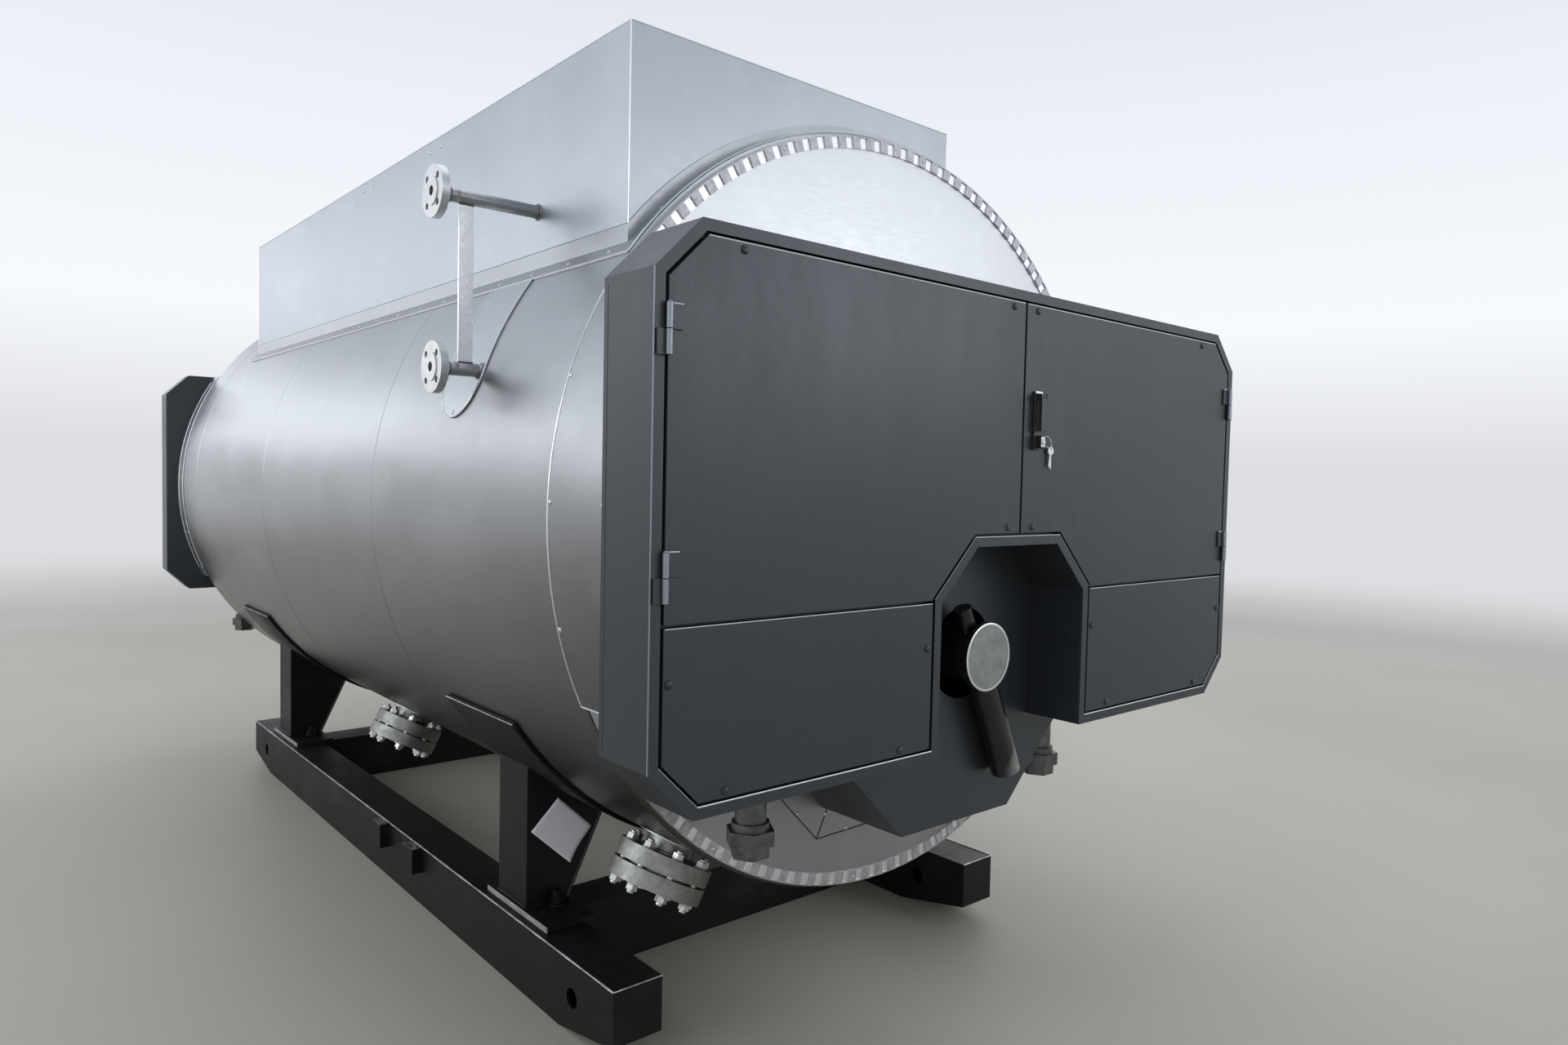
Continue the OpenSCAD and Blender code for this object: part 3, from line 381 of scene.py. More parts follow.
def paper_sheet(name):
    """Office paper, a little stained and uneven."""
    s = Shader(name)
    fibre = s.noise(420.0, 4.0, 0.7)
    stain = s.noise(14.0, 4.0, 0.6)
    base = s.mix(s.ramp(fibre, 0.35, 0.7, 0.0, 0.5), (0.88, 0.88, 0.93), (0.80, 0.80, 0.86))
    s.feed("Base Color", s.mix(s.ramp(stain, 0.55, 0.8, 0.0, 0.4), base, (0.70, 0.68, 0.65)))
    s.feed("Roughness", s.ramp(fibre, 0.0, 1.0, 0.5, 0.75))
    s.bump([(stain, 0.0006), (fibre, 0.0001)])
    return s.mat


def pale_floor(name, colour, far_colour):
    """Plain floor that passes into the backdrop's colour far away from the boiler."""
    s = Shader(name)
    cloud = s.noise(0.35, 5.0, 0.55)
    grain = s.noise(60.0, 4.0, 0.65)
    base = s.mix(s.ramp(cloud, 0.35, 0.65, 0.0, 0.6), colour, [c * 0.95 for c in colour])
    s.feed("Base Color", s.mix(s.ramp(grain, 0.4, 0.7, 0.0, 0.25), base,
                               [c * 0.93 for c in colour]))
    s.feed("Roughness", s.ramp(cloud, 0.3, 0.7, 0.42, 0.62))
    s.bump([(grain, 0.0004)])
    away = s.node("ShaderNodeVectorMath", {0: s.where}, operation="LENGTH").outputs["Value"]
    fade = s.node("ShaderNodeMapRange", {"Value": away, "From Min": 3.6, "From Max": 15.0},
                  interpolation_type="SMOOTHERSTEP").outputs[0]
    path = s.node("ShaderNodeLightPath").outputs
    seen = s.math("MAXIMUM", path["Is Camera Ray"],
                  s.math("MAXIMUM", path["Is Glossy Ray"], path["Is Transmission Ray"]))
    glow = s.node("ShaderNodeEmission", {"Color": (*far_colour, 1.0), "Strength": 1.0})
    blend = s.node("ShaderNodeMixShader", {0: s.product(fade, seen), 1: s.bsdf.outputs[0],
                                           2: glow.outputs[0]})
    s.tree.links.new(blend.outputs[0], s.tree.nodes["Material Output"].inputs["Surface"])
    s.mat.cycles.emission_sampling = "NONE"
    return s.mat


# The barrel and the end plates are darkened towards the bottom by painted shade.
JACKET_ROUND = sheet_metal("jacket_round", (0.51, 0.525, 0.55), (0.41, 0.425, 0.45), 0.34, True,
                           painted_shade=0.94)
JACKET_FLAT = sheet_metal("jacket_flat", (0.49, 0.52, 0.565), (0.41, 0.44, 0.485), 0.40)
FLASHING = sheet_metal("flashing_sheet", (0.47, 0.485, 0.51), (0.36, 0.375, 0.40), 0.38, True)
TRIM_SHEET = sheet_metal("trim_sheet", (0.60, 0.62, 0.65), (0.46, 0.48, 0.51), 0.36, True)
TAB_SHEET = tab_metal("tab_sheet", (0.80, 0.81, 0.83), (0.36, 0.365, 0.385))
END_SHEET = sheet_metal("end_sheet", (0.67, 0.685, 0.71), (0.58, 0.595, 0.62), 0.42,
                        waves=0.0008, painted_shade=0.56)
COWL = powder_coat("cowl_coat", (0.050, 0.057, 0.065), 0.35, flake=0.60)
# Lighter satin coat: painted highlight on the cowl's corners, and partly so on the hinges'
# knuckles and pins.
SATIN_HIGHLIGHT = powder_coat("satin_highlight_coat", (0.26, 0.29, 0.33), 0.32, flake=0.7)
# Pale coat for lines of painted highlight along the cowl's upward edges and the hinge leaves'
# upper edges.
HIGHLIGHT_COAT = powder_coat("painted_highlight_coat", (0.66, 0.69, 0.74), 0.34, flake=0.6)
LEVER = powder_coat("lever_coat", (0.050, 0.055, 0.061), 0.28, flake=0.5)
PLASTIC = powder_coat("black_moulding", (0.016, 0.017, 0.019), 0.36, 0.04)
SCREW = powder_coat("screw_coat", (0.020, 0.022, 0.026), 0.30)
GROOVE = powder_coat("groove", (0.006, 0.006, 0.007), 0.55, 0.02)
SKID = brush_paint("skid_coat", (0.0038, 0.0040, 0.0042), 0.46)
THIN_PAINT = brush_paint("thin_paint", (0.034, 0.035, 0.034), 0.40)
STEEL = bare_steel("machined", (0.66, 0.67, 0.68), (0.48, 0.49, 0.50), 0.36)
FORGED = bare_steel("forged", (0.30, 0.30, 0.29), (0.19, 0.19, 0.18), 0.42, 0.7)
# Bare steel for the beams' and the wear plates' upper edges, partly wear and partly painted
# highlight.
WEAR_AND_HIGHLIGHT_EDGE = bare_steel("wear_and_highlight_steel", (0.46, 0.47, 0.49), (0.15, 0.15, 0.15), 0.45, 0.8)
PIPE = bare_steel("pipe_steel", (0.40, 0.41, 0.42), (0.27, 0.27, 0.28), 0.34)
ZINC = bare_steel("zinc_bolts", (0.58, 0.58, 0.57), (0.40, 0.40, 0.39), 0.34)
# Pale metal for the beads and the blind disc's rim; on the beads its lightness is partly painted
# highlight.
BRIGHT = bare_steel("bright_edge", (0.84, 0.85, 0.87), (0.66, 0.68, 0.70), 0.28)
CHROME = bare_steel("chrome", (0.80, 0.80, 0.80), (0.62, 0.62, 0.62), 0.14, 0.3)
IRON = bare_steel("dark_iron", (0.17, 0.17, 0.165), (0.07, 0.07, 0.068), 0.42, 0.8)
BLIND = bare_steel("blind_plate", (0.36, 0.38, 0.37), (0.22, 0.24, 0.24), 0.34, 0.8)
GALVANISED = galvanised_bar("galvanised")
STUB = stub_paint("stub_coat", BRANCH_END + Vector((0.045, -0.010, 0.020)), 0.078)
PAPER = paper_sheet("paper")


# Mesh code

def angles(count):
    return [2 * math.pi * k / count for k in range(count)]


def steps(low, high, count):
    """count + 1 even values from low to high."""
    return [low + (high - low) * i / count for i in range(count + 1)]


def line(start, end, count):
    """count + 1 even points from start to end."""
    return list(zip(*(steps(a, b, count) for a, b in zip(start, end))))


def axes_for(axis, up=(0, 0, 1)):
    """Three axes at right angles, the last along axis and the second near up."""
    z = Vector(axis).normalized()
    guide = Vector(up)
    if abs(z.dot(guide)) > 0.95:
        guide = Vector((0, 1, 0))
    x = guide.cross(z).normalized()
    return x, z.cross(x), z


def bridge(bm, low, high):
    """Faces between two closed rings of vertices."""
    for k in range(len(low)):
        m = (k + 1) % len(low)
        bm.faces.new((low[k], low[m], high[m], high[k]))


def lathe(bm, origin, axis, profile, segments=24, turn=0.0):
    """Revolves (radius, height) points round axis from origin. Radius 0 closes an end."""
    x, y, z = axes_for(axis)
    origin = Vector(origin)
    rings = []
    for radius, height in profile:
        centre = origin + z * height
        if radius == 0:
            rings.append([bm.verts.new(centre)])
            continue
        rings.append([
            bm.verts.new(centre + (x * math.cos(turn + a) + y * math.sin(turn + a)) * radius)
            for a in angles(segments)
        ])
    for low, high in zip(rings, rings[1:]):
        for i in range(segments):
            j = (i + 1) % segments
            if len(low) == 1:
                bm.faces.new((low[0], high[i], high[j]))
            elif len(high) == 1:
                bm.faces.new((low[j], low[i], high[0]))
            else:
                bm.faces.new((low[i], high[i], high[j], low[j]))


def tube(bm, points, radius, sides=8, closed=False, wobble=0.0, normal=None):
    """Sweeps a ring along points. wobble varies the radius as a weld's ripples do."""
    points = [Vector(p) for p in points]
    count = len(points)
    rings = []
    for i, p in enumerate(points):
        before = points[(i - 1) % count] if (closed or i) else p
        after = points[(i + 1) % count] if (closed or i < count - 1) else p
        along = (after - before).normalized()
        if normal is None:
            guide = Vector((0, 0, 1)) if abs(along.z) < 0.9 else Vector((1, 0, 0))
        else:
            guide = normal(p)
        side = along.cross(guide).normalized()
        out = side.cross(along).normalized()
        r = radius * (1 + wobble * (noise.noise(p * 260) + 0.5 * math.sin(i * 2.1)))
        rings.append([bm.verts.new(p + side * math.cos(a) * r + out * math.sin(a) * r)
                      for a in angles(sides)])
    for low, high in zip(rings, rings[1:]):
        bridge(bm, low, high)
    if closed:
        bridge(bm, rings[-1], rings[0])
    else:
        bm.faces.new(list(reversed(rings[0])))
        bm.faces.new(rings[-1])


def dome(bm, point, axis, radius, height, segments=12):
    """A rivet's head."""
    lathe(bm, point, axis, [(0, height), (radius * 0.42, height * 0.92),
                            (radius * 0.74, height * 0.66), (radius * 0.94, height * 0.3),
                            (radius, 0), (radius * 0.9, -0.0006), (0, -0.0006)], segments)


def hexagon(bm, point, axis, flats, height, turn):
    """A nut with chamfered corners."""
    corner = flats / math.sqrt(3)
    chamfer = flats * 0.05
    lathe(bm, point, axis, [(0, 0), (corner - chamfer, 0), (corner, chamfer * 0.6),
                            (corner, height - chamfer * 0.6), (corner - chamfer, height),
                            (0, height)], 6, turn)


def washer(bm, point, axis, radius, edge, height, segments):
    """A washer that is widest at the height edge."""
    inner = radius - 0.0005
    lathe(bm, point, axis, [(0, 0), (inner, 0), (radius, edge), (inner, height), (0, height)],
          segments)


def block(bm, low, high):
    x0, y0, z0 = low
    x1, y1, z1 = high
    v = [bm.verts.new(p) for p in ((x0, y0, z0), (x1, y0, z0), (x1, y1, z0), (x0, y1, z0),
                                   (x0, y0, z1), (x1, y0, z1), (x1, y1, z1), (x0, y1, z1))]
    for f in ((3, 2, 1, 0), (4, 5, 6, 7), (0, 1, 5, 4), (1, 2, 6, 5), (2, 3, 7, 6), (3, 0, 4, 7)):
        bm.faces.new([v[i] for i in f])


def add_bevel(obj, width, limit):
    """Rounds the edges sharper than limit degrees."""
    rounded = obj.modifiers.new("bevel", "BEVEL")
    rounded.width = width
    rounded.segments = 2
    rounded.limit_method = "ANGLE"
    rounded.angle_limit = math.radians(limit)


def finish_piece(name, bm, body, material, bevel=0.0):
    """Turns bm into a smooth shaded object that rides on a body."""
    bmesh.ops.recalc_face_normals(bm, faces=bm.faces[:])
    mesh = bpy.data.meshes.new(name)
    bm.to_mesh(mesh)
    bm.free()
    for polygon in mesh.polygons:
        polygon.use_smooth = True
    obj = bpy.data.objects.new(name, mesh)
    bpy.context.scene.collection.objects.link(obj)
    mesh.materials.append(material)
    if bevel:
        add_bevel(obj, bevel, 35)
    mesh.set_sharp_from_angle(angle=math.radians(35))
    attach(obj, body)
    return obj


def on_barrel(theta, y, radius=JACKET_R):
    """Point and outward direction at an angle from straight down, positive to the left."""
    out = Vector((-math.sin(math.radians(theta)), 0, -math.cos(math.radians(theta))))
    return Vector((0, y, AXIS_Z)) + out * radius, out


def barrel_top(x, lift=0.0):
    return AXIS_Z + math.sqrt(JACKET_R ** 2 - x ** 2) + lift


def left_of_barrel(z):
    """X of the patch's face on the barrel's left side at a height."""
    return -math.sqrt(PATCH_R ** 2 - (z - AXIS_Z) ** 2)


def outward(p):
    return Vector((p.x, 0, p.z - AXIS_Z)).normalized()


# CAD nodes: materials and soft edges

def dress_node(name, material, bevel=0.0):
    """Gives a CAD node its only material and, with a bevel, soft edges."""
    obj = nodes[name]
    obj.data.materials.clear()
    obj.data.materials.append(material)
    for polygon in obj.data.polygons:
        polygon.material_index = 0
    if bevel:
        welded = obj.modifiers.new("weld", "WELD")
        welded.merge_threshold = 0.00001
        add_bevel(obj, bevel, 32)


def named(start):
    return [name for name in nodes if name.startswith(start)]


DRESS = (
    (JACKET_ROUND, 0.0, ["jacket_course_1", "jacket_course_2", "jacket_course_3",
                         "jacket_course_4", "front_side_covers", "rear_side_covers"]),
    (JACKET_FLAT, 0.0, ["top_box_walls", "top_box_roof", "front_smoke_box", "rear_smoke_box"]),
    (TRIM_SHEET, 0.0, ["gauge_patch"]),
    (FLASHING, 0.0, ["top_box_flashing"]),
    (END_SHEET, 0.0, ["front_end", "rear_end"]),
    (TAB_SHEET, 0.0, ["front_hem", "rear_hem"]),
    (COWL, 0.0010, ["cowl_frame", "cowl_skin", "cowl_rebate", "cowl_back", "tunnel_lining",
                    "left_door", "left_door_edge", "right_door", "right_door_edge",
                    "left_lower_panel", "right_lower_panel", "burner_box", "rear_cowl_frame",
                    "rear_cowl_panels"]),
    (SKID, 0.0020, ["cross_member_front", "cross_member_rear", "saddle_front_left",
                    "saddle_front_right", "saddle_rear_left", "saddle_rear_right"]),
    # A bevel folds the shading of the beams' outer faces, so they stay sharp
    (SKID, 0.0, ["skid_beam_left", "skid_beam_right"]),
    (FORGED, 0.0, named("handhole")),
    (STEEL, 0.0, named("gauge_nozzle")),
    (GALVANISED, 0.0006, ["gauge_brace"]),
    (PLASTIC, 0.0008, ["handle_base"]),
    (LEVER, 0.0010, ["handle_lever"]),
    (STUB, 0.0, ["burner_stub"]),
    (IRON, 0.0, ["front_drain_left", "front_drain_right", "rear_drain"]),
)

for material, bevel, names in DRESS:
    for name in names:
        dress_node(name, material, bevel)


# Side covers: seam beads and rivets

def side_cover_trim(end, side, word, y_lap, y_cowl):
    """Bead round one cover's edge, with its rivets."""
    low, high = (side * math.degrees(math.acos((AXIS_Z - z) / JACKET_R)) for z in COVER_Z)
    arc_steps = int(abs(high - low) / 2.5)
    bm = bmesh.new()
    for y in (y_lap, y_cowl):
        tube(bm, [on_barrel(theta, y, COVER_R)[0] for theta in steps(low, high, arc_steps)],
             0.0018, normal=outward)
    for theta in (low, high):
        tube(bm, [on_barrel(theta, y, COVER_R)[0] for y in steps(y_lap, y_cowl, 6)], 0.0018,
             normal=outward)
    finish_piece(f"cover_bead_{end}_{word}", bm, "boiler", BRIGHT)

    bm = bmesh.new()
    inset = 0.008 if y_cowl < y_lap else -0.008
    for theta in (76.5, 92.0, 107.5, 119.0):
        for y in (y_lap - inset, y_cowl + inset):
            point, out = on_barrel(side * theta, y, COVER_R)
            dome(bm, point, out, 0.0050, 0.0024, 14)
    finish_piece(f"cover_rivets_{end}_{word}", bm, "boiler", STEEL)


for side, word in SIDES:
    side_cover_trim("front", side, word, HEM_Y + 0.020, HEM_Y - 0.175)
    side_cover_trim("rear", side, word, REAR_Y - 0.020, REAR_Y + 0.060)


# Top box: folded corners, foot bead, rivets

def box_corner_beads():
    """The bright folds up the box's corners and round its roof."""
    bm = bmesh.new()
    for x in BOX_X:
        for y in BOX_Y:
            tube(bm, line((x, y, barrel_top(x)), (x, y, BOX_TOP), 8), 0.0014)
    (x0, x1), (y0, y1), z = BOX_X, BOX_Y, BOX_TOP - 0.0008
    corners = [(x0, y0, z), (x1, y0, z), (x1, y1, z), (x0, y1, z)]
    for a, b in zip(corners, corners[1:] + corners[:1]):
        tube(bm, line(a, b, 12), 0.0014)
    finish_piece("box_corner_beads", bm, "boiler", BRIGHT)


def flashing_bead():
    """Bead along the flashing's edge, which lies past_x and past_y outside the box."""
    past_x, past_y, lift = 0.020, 0.032, 0.0035
    (x0, x1), (y0, y1) = BOX_X, BOX_Y
    bm = bmesh.new()
    for x in (x0 - past_x, x1 + past_x):
        z = barrel_top(x, lift)
        tube(bm, line((x, y0 - past_y, z), (x, y1 + past_y, z), 40), 0.0019)
    for y in (y0 - past_y, y1 + past_y):
        tube(bm, [(x, y, barrel_top(x, lift)) for x in steps(x0 - past_x, x1 + past_x, 30)],
             0.0019)
    finish_piece("flashing_bead", bm, "boiler", BRIGHT)


def box_rivets():
    """Rivets through the flashing all round, and four high on each side of the box."""
    spots = []
    for x in (BOX_X[0] - 0.011, BOX_X[1] + 0.011):
        spots += [(x, BOX_Y[0] + 0.05 + 0.158 * i) for i in range(17)]
    for y in (BOX_Y[0] - 0.018, BOX_Y[1] + 0.018):
        spots += [(BOX_X[0] + 0.06 + 0.13 * i, y) for i in range(7)]
    bm = bmesh.new()
    for x, y in spots:
        point = Vector((x, y, barrel_top(x, 0.0032)))
        dome(bm, point, outward(point), 0.0052, 0.0026)
    for y, z in ((0.952, 2.049), (1.021, 2.048), (1.457, 2.051), (1.528, 2.051)):
        for x, sign in zip(BOX_X, (-1, 1)):
            dome(bm, (x, HEM_Y + y, z), (sign, 0, 0), 0.0055, 0.0022)
    finish_piece("box_rivets", bm, "boiler", STEEL)


box_corner_beads()
flashing_bead()
box_rivets()


# Level gauge: welds, pipe sleeves, patch edge

def gauge_welds():
    """Welds where the pipes meet the box and the patch, and at the flanges' necks."""
    bm = bmesh.new()
    for z, on_patch in zip(GAUGE_Z, (False, True)):
        ring = []
        for a in angles(28):
            at = z + 0.0155 * math.cos(a)
            root = left_of_barrel(at) if on_patch else BOX_X[0]
            ring.append((root - 0.0006, GAUGE_Y + 0.0148 * math.sin(a), at))
        tube(bm, ring, 0.0024, 8, True, 0.15)
        tube(bm, [(NECK_X, GAUGE_Y + 0.0138 * math.sin(a), z + 0.0138 * math.cos(a))
                  for a in angles(24)], 0.0017, 8, True, 0.2)
    finish_piece("gauge_welds", bm, "boiler", FORGED)


def gauge_sleeves():
    """Thin sleeves that give the two pipes their darker steel, with a groove by the weld."""
    start = NECK_X + 0.0005
    bm = bmesh.new()
    for z, root in zip(GAUGE_Z, (BOX_X[0], left_of_barrel(GAUGE_Z[1] - 0.015))):
        reach = root - start
        lathe(bm, (start, GAUGE_Y, z), (1, 0, 0),
              [(0.0136, 0.0), (0.0139, 0.0006), (0.0139, 0.0162), (0.0137, 0.0168),
               (0.0137, 0.0176), (0.0139, 0.0182), (0.0139, reach - 0.001), (0.0136, reach)], 32)
    finish_piece("gauge_sleeves", bm, "boiler", PIPE)


def patch_trim():
    """Bead round the patch, down its front edge, round its foot and up again, and its rivets."""
    front, r = GAUGE_Y - 0.018, PATCH_HALF
    top = AXIS_Z + math.sqrt(PATCH_R ** 2 - 0.690 ** 2)
    outline = [(front, z) for z in steps(top, PATCH_LOW + r, 12)]
    outline += [(front + r - r * math.cos(a), PATCH_LOW + r - r * math.sin(a))
                for a in steps(0, math.pi, 24)[1:-1]]
    outline += [(front + 2 * r, z) for z in steps(PATCH_LOW + r, top, 12)]
    bm = bmesh.new()
    tube(bm, [(left_of_barrel(z), y, z) for y, z in outline], 0.0017, normal=outward)
    finish_piece("patch_bead", bm, "boiler", BRIGHT)

    bm = bmesh.new()
    for y, z in ((0.009, 1.600), (0.009, 1.525), (0.009, 1.430), (0.095, 1.351),
                 (0.181, 1.430), (0.181, 1.560)):
        point = Vector((left_of_barrel(z), front + y, z))
        dome(bm, point, outward(point), 0.0046, 0.0022)
    finish_piece("patch_rivets", bm, "boiler", STEEL)


def brace_welds():
    """Two short welds at each end of the flat bar."""
    x = NECK_X + 0.0190
    bm = bmesh.new()
    for z in (GAUGE_Z[0] - 0.0150, GAUGE_Z[1] + 0.0150):
        for y in (GAUGE_Y - 0.0032, GAUGE_Y + 0.0032):
            tube(bm, line((x, y, z), (x + 0.031, y, z), 10), 0.0017, 6, False, 0.3)
    finish_piece("brace_welds", bm, "boiler", FORGED)


gauge_welds()
gauge_sleeves()
patch_trim()
brace_welds()


# Hand holes: studs, nuts, welds and collars

def handhole_bolts(name, y, side):
    """Eight studs, each with a washer and a nut on both flanges."""
    point, out = on_barrel(HOLE_ANGLE * side, y)
    across, along, _ = axes_for(out, (0, 1, 0))
    low, high = HOLE_FLANGES
    bm = bmesh.new()
    for i in range(8):
        a = math.radians(22.5 + 45 * i)
        centre = point + (across * math.cos(a) + along * math.sin(a)) * HOLE_BOLT_R
        turn = rng.uniform(0, math.pi / 3)
        lathe(bm, centre, out, [(0, low - 0.021), (0.0062, low - 0.021), (0.0078, low - 0.019),
                                (0.0078, high + 0.006), (0, high + 0.006)], 14)
        for start, axis in ((centre + out * low, -out), (centre + out * high, out)):
            washer(bm, start, axis, 0.0150, 0.0006, 0.0028, 18)
            hexagon(bm, start + axis * 0.0028, axis, 0.024, 0.0125, turn)
        lathe(bm, centre + out * (high + 0.0150), out,
              [(0.0078, 0), (0.0078, 0.0050), (0.0064, 0.0068), (0, 0.0068)], 14)
    finish_piece(name, bm, "boiler", ZINC)


def handhole_weld(name, y, side):
    """Weld between the neck and its flange, and the sheet collar at the jacket."""
    point, out = on_barrel(HOLE_ANGLE * side, y)
    across, along, _ = axes_for(out, (0, 1, 0))
    bm = bmesh.new()
    tube(bm, [point + out * 0.0275 + (across * math.cos(a) + along * math.sin(a)) * 0.0590
              for a in angles(48)], 0.0040, 8, True, 0.2)
    finish_piece(name + "_weld", bm, "boiler", FORGED)

    def collar_ring(radius, lift):
        ring = []
        for a in angles(64):
            p = point + (across * math.cos(a) + along * math.sin(a)) * radius
            foot = Vector((0, p.y, AXIS_Z)) + outward(p) * (JACKET_R + lift)
            ring.append(bm.verts.new(foot))
        return ring

    bm = bmesh.new()
    inner, outer = collar_ring(HOLE_NECK_R, 0.0022), collar_ring(0.078, 0.0022)
    under = collar_ring(0.078, 0.0002)
    bridge(bm, inner, outer)
    bridge(bm, outer, under)
    finish_piece(name + "_collar", bm, "boiler", TRIM_SHEET)


for end, y in zip(("front", "rear"), HOLE_Y):
    for side, word in SIDES:
        handhole_bolts(f"handhole_bolts_{end}_{word}", y, side)
        handhole_weld(f"handhole_{end}_{word}", y, side)


# Skid and saddles: edges, bolts, welds, paper

def beam_edges(name, side):
    """The upper edges of a skid beam, along its outside and across its ends, as bare steel lines
    that are partly wear and partly painted highlight.
    """
    out, inner, z = side * -(BEAM_OUT - 0.0005), side * -(BEAM_OUT - BEAM_W), BEAM_TOP - 0.0005
    front, rear = BEAM_Y[0] + 0.0005, BEAM_Y[1] - 0.0005
    bm = bmesh.new()
    tube(bm, line((out, front, z), (out, rear, z), 60), 0.0027, 6, False, 0.3)
    for y in (front, rear):
        tube(bm, line((out, y, z), (inner, y, z), 8), 0.0017, 6, False, 0.3)
    finish_piece(name, bm, "boiler", WEAR_AND_HIGHLIGHT_EDGE)


def saddle_bolts(name, y, side):
    """The bolts that hold a saddle's base plate to the beam, before and behind it."""
    bm = bmesh.new()
    x = side * -0.522
    for yy in (y - 0.022, y + SADDLE_D + 0.022):
        washer(bm, (x, yy, BASE_TOP), (0, 0, 1), 0.0190, 0.0008, 0.0030, 20)
        hexagon(bm, (x, yy, BASE_TOP + 0.0030), (0, 0, 1), 0.030, 0.0160, rng.uniform(0, 1))
        lathe(bm, (x, yy, BASE_TOP + 0.0190), (0, 0, 1), [(0.0098, 0), (0.0098, 0.015),
                                                          (0.0080, 0.017), (0, 0.017)], 16)
    finish_piece(name, bm, "boiler", SKID)


def saddle_welds(name, y, side):
    """Welds at the webs' feet, under the wear plate and along the outer plate's foot."""
    foot = BASE_TOP + 0.0005
    out, inner = side * -WEB_OUT, side * -WEB_IN
    radius = JACKET_R + 0.0103
    bm = bmesh.new()
    for web in (y, y + SADDLE_D):
        tube(bm, line((out, web, foot), (inner, web, foot), 26), 0.0040, 8, False, 0.22)
        tube(bm, [(side * x, web, AXIS_Z - math.sqrt(radius ** 2 - x ** 2))
                  for x in steps(0.002 - WEB_OUT, -WEB_TOP, 44)], 0.0040, 8, False, 0.22)
    tube(bm, line((out, y, foot), (out, y + SADDLE_D, foot), 30), 0.0040, 8, False, 0.22)
    finish_piece(name, bm, "boiler", SKID)


def saddle_edges(name, y, side):
    """Thinly painted lips up the webs' sloping edges, and the wear plate's upper edge as a bare
    steel line that is partly wear and partly painted highlight.
    """
    foot = BASE_TOP + 0.0005
    bm = bmesh.new()
    for web in (y + 0.001, y + SADDLE_D - 0.001):
        tube(bm, line((side * -WEB_IN, web, foot), (side * -WEB_TOP, web, foot + 0.200), 12),
             0.0045)
    finish_piece(name + "_lips", bm, "boiler", THIN_PAINT)

    bm = bmesh.new()
    tube(bm, [on_barrel(side * WEAR_HIGH, yy, WEAR_R - 0.0004)[0]
              for yy in steps(y - 0.179, y + 0.179, 24)], 0.0016, 6, False, 0.3)
    finish_piece(name + "_plate_edge", bm, "boiler", WEAR_AND_HIGHLIGHT_EDGE)


def paper():
    """A blank sheet of paper taped to the front left saddle, with one corner lifted."""
    corners = [Vector((-0.509, 0, 0.434)), Vector((-0.415, 0, 0.345)),
               Vector((-0.482, 0, 0.271)), Vector((-0.580, 0, 0.364))]
    count = 14
    bm = bmesh.new()
    grid = []
    for u in steps(0, 1, count):
        row = []
        for v in steps(0, 1, count):
            p = (corners[0].lerp(corners[1], u)).lerp(corners[3].lerp(corners[2], u), v)
            curl = 0.0045 * max(0.0, u + v - 1.35) ** 2 * 8
            ripple = 0.0005 * math.sin(6 * u + 2) * math.sin(5 * v)
            row.append(bm.verts.new((p.x, SADDLE_Y[0] - 0.0011 - curl - abs(ripple), p.z)))
        grid.append(row)
    for i in range(count):
        for j in range(count):
            bm.faces.new((grid[i][j], grid[i + 1][j], grid[i + 1][j + 1], grid[i][j + 1]))
    sheet = finish_piece("paper_sheet", bm, "boiler", PAPER)
    thick = sheet.modifiers.new("thickness", "SOLIDIFY")
    thick.thickness = 0.0003


for side, word in SIDES:
    beam_edges(f"beam_edges_{word}", side)
for end, y in zip(("front", "rear"), SADDLE_Y):
    for side, word in SIDES:
        name = f"saddle_{end}_{word}"
        saddle_bolts(name + "_bolts", y, side)
        saddle_welds(name + "_welds", y, side)
        saddle_edges(name, y, side)
paper()


# End plates: joints of the sheet, rivets

def end_plate_trim():
    """Joint lines and rivets low on the front end plate, and a rivet in every twelfth of each
    hem."""
    face = HEM_Y + 0.006
    meeting = (-0.196, 0.433)
    bm = bmesh.new()
    for (xa, za), (xb, zb) in (((-0.301, 0.541), meeting), ((-0.166, 0.496), meeting),
                               (meeting, (-0.046, 0.436))):
        tube(bm, line((xa, face - 0.0003, za), (xb, face - 0.0003, zb), 10), 0.0013, 6)
    finish_piece("end_joint_lines", bm, "boiler", GROOVE)

    bm = bmesh.new()
    for x, z in ((-0.254, 0.501), (-0.171, 0.484), (-0.106, 0.439)):
        dome(bm, (x, face, z), (0, -1, 0), 0.0046, 0.0020)
    finish_piece("end_rivets", bm, "boiler", STEEL)

    radius = HEM_R - 0.013
    bm = bmesh.new()
    for sign, y in ((-1, HEM_Y + 0.0002), (1, REAR_Y - 0.0002)):
        for k in range(12):
            a = math.radians(6 + 30 * k)
            dome(bm, (radius * math.sin(a), y, AXIS_Z + radius * math.cos(a)), (0, sign, 0),
                 0.0042, 0.0020)
    finish_piece("tab_rivets", bm, "boiler", STEEL)


end_plate_trim()


# Cowls: screws, fold lines, hinges, edges, handle

def cowl_screws(name, body, spots):
    bm = bmesh.new()
    for x, z in spots:
        lathe(bm, (x, FACE_Y, z), (0, -1, 0), [(0, -0.0005), (0.0072, -0.0005), (0.0074, 0.0004),
                                               (0.0067, 0.0021), (0.0049, 0.0034),
                                               (0.0023, 0.0040), (0, 0.0041)], 20)
    finish_piece(name, bm, body, SCREW)


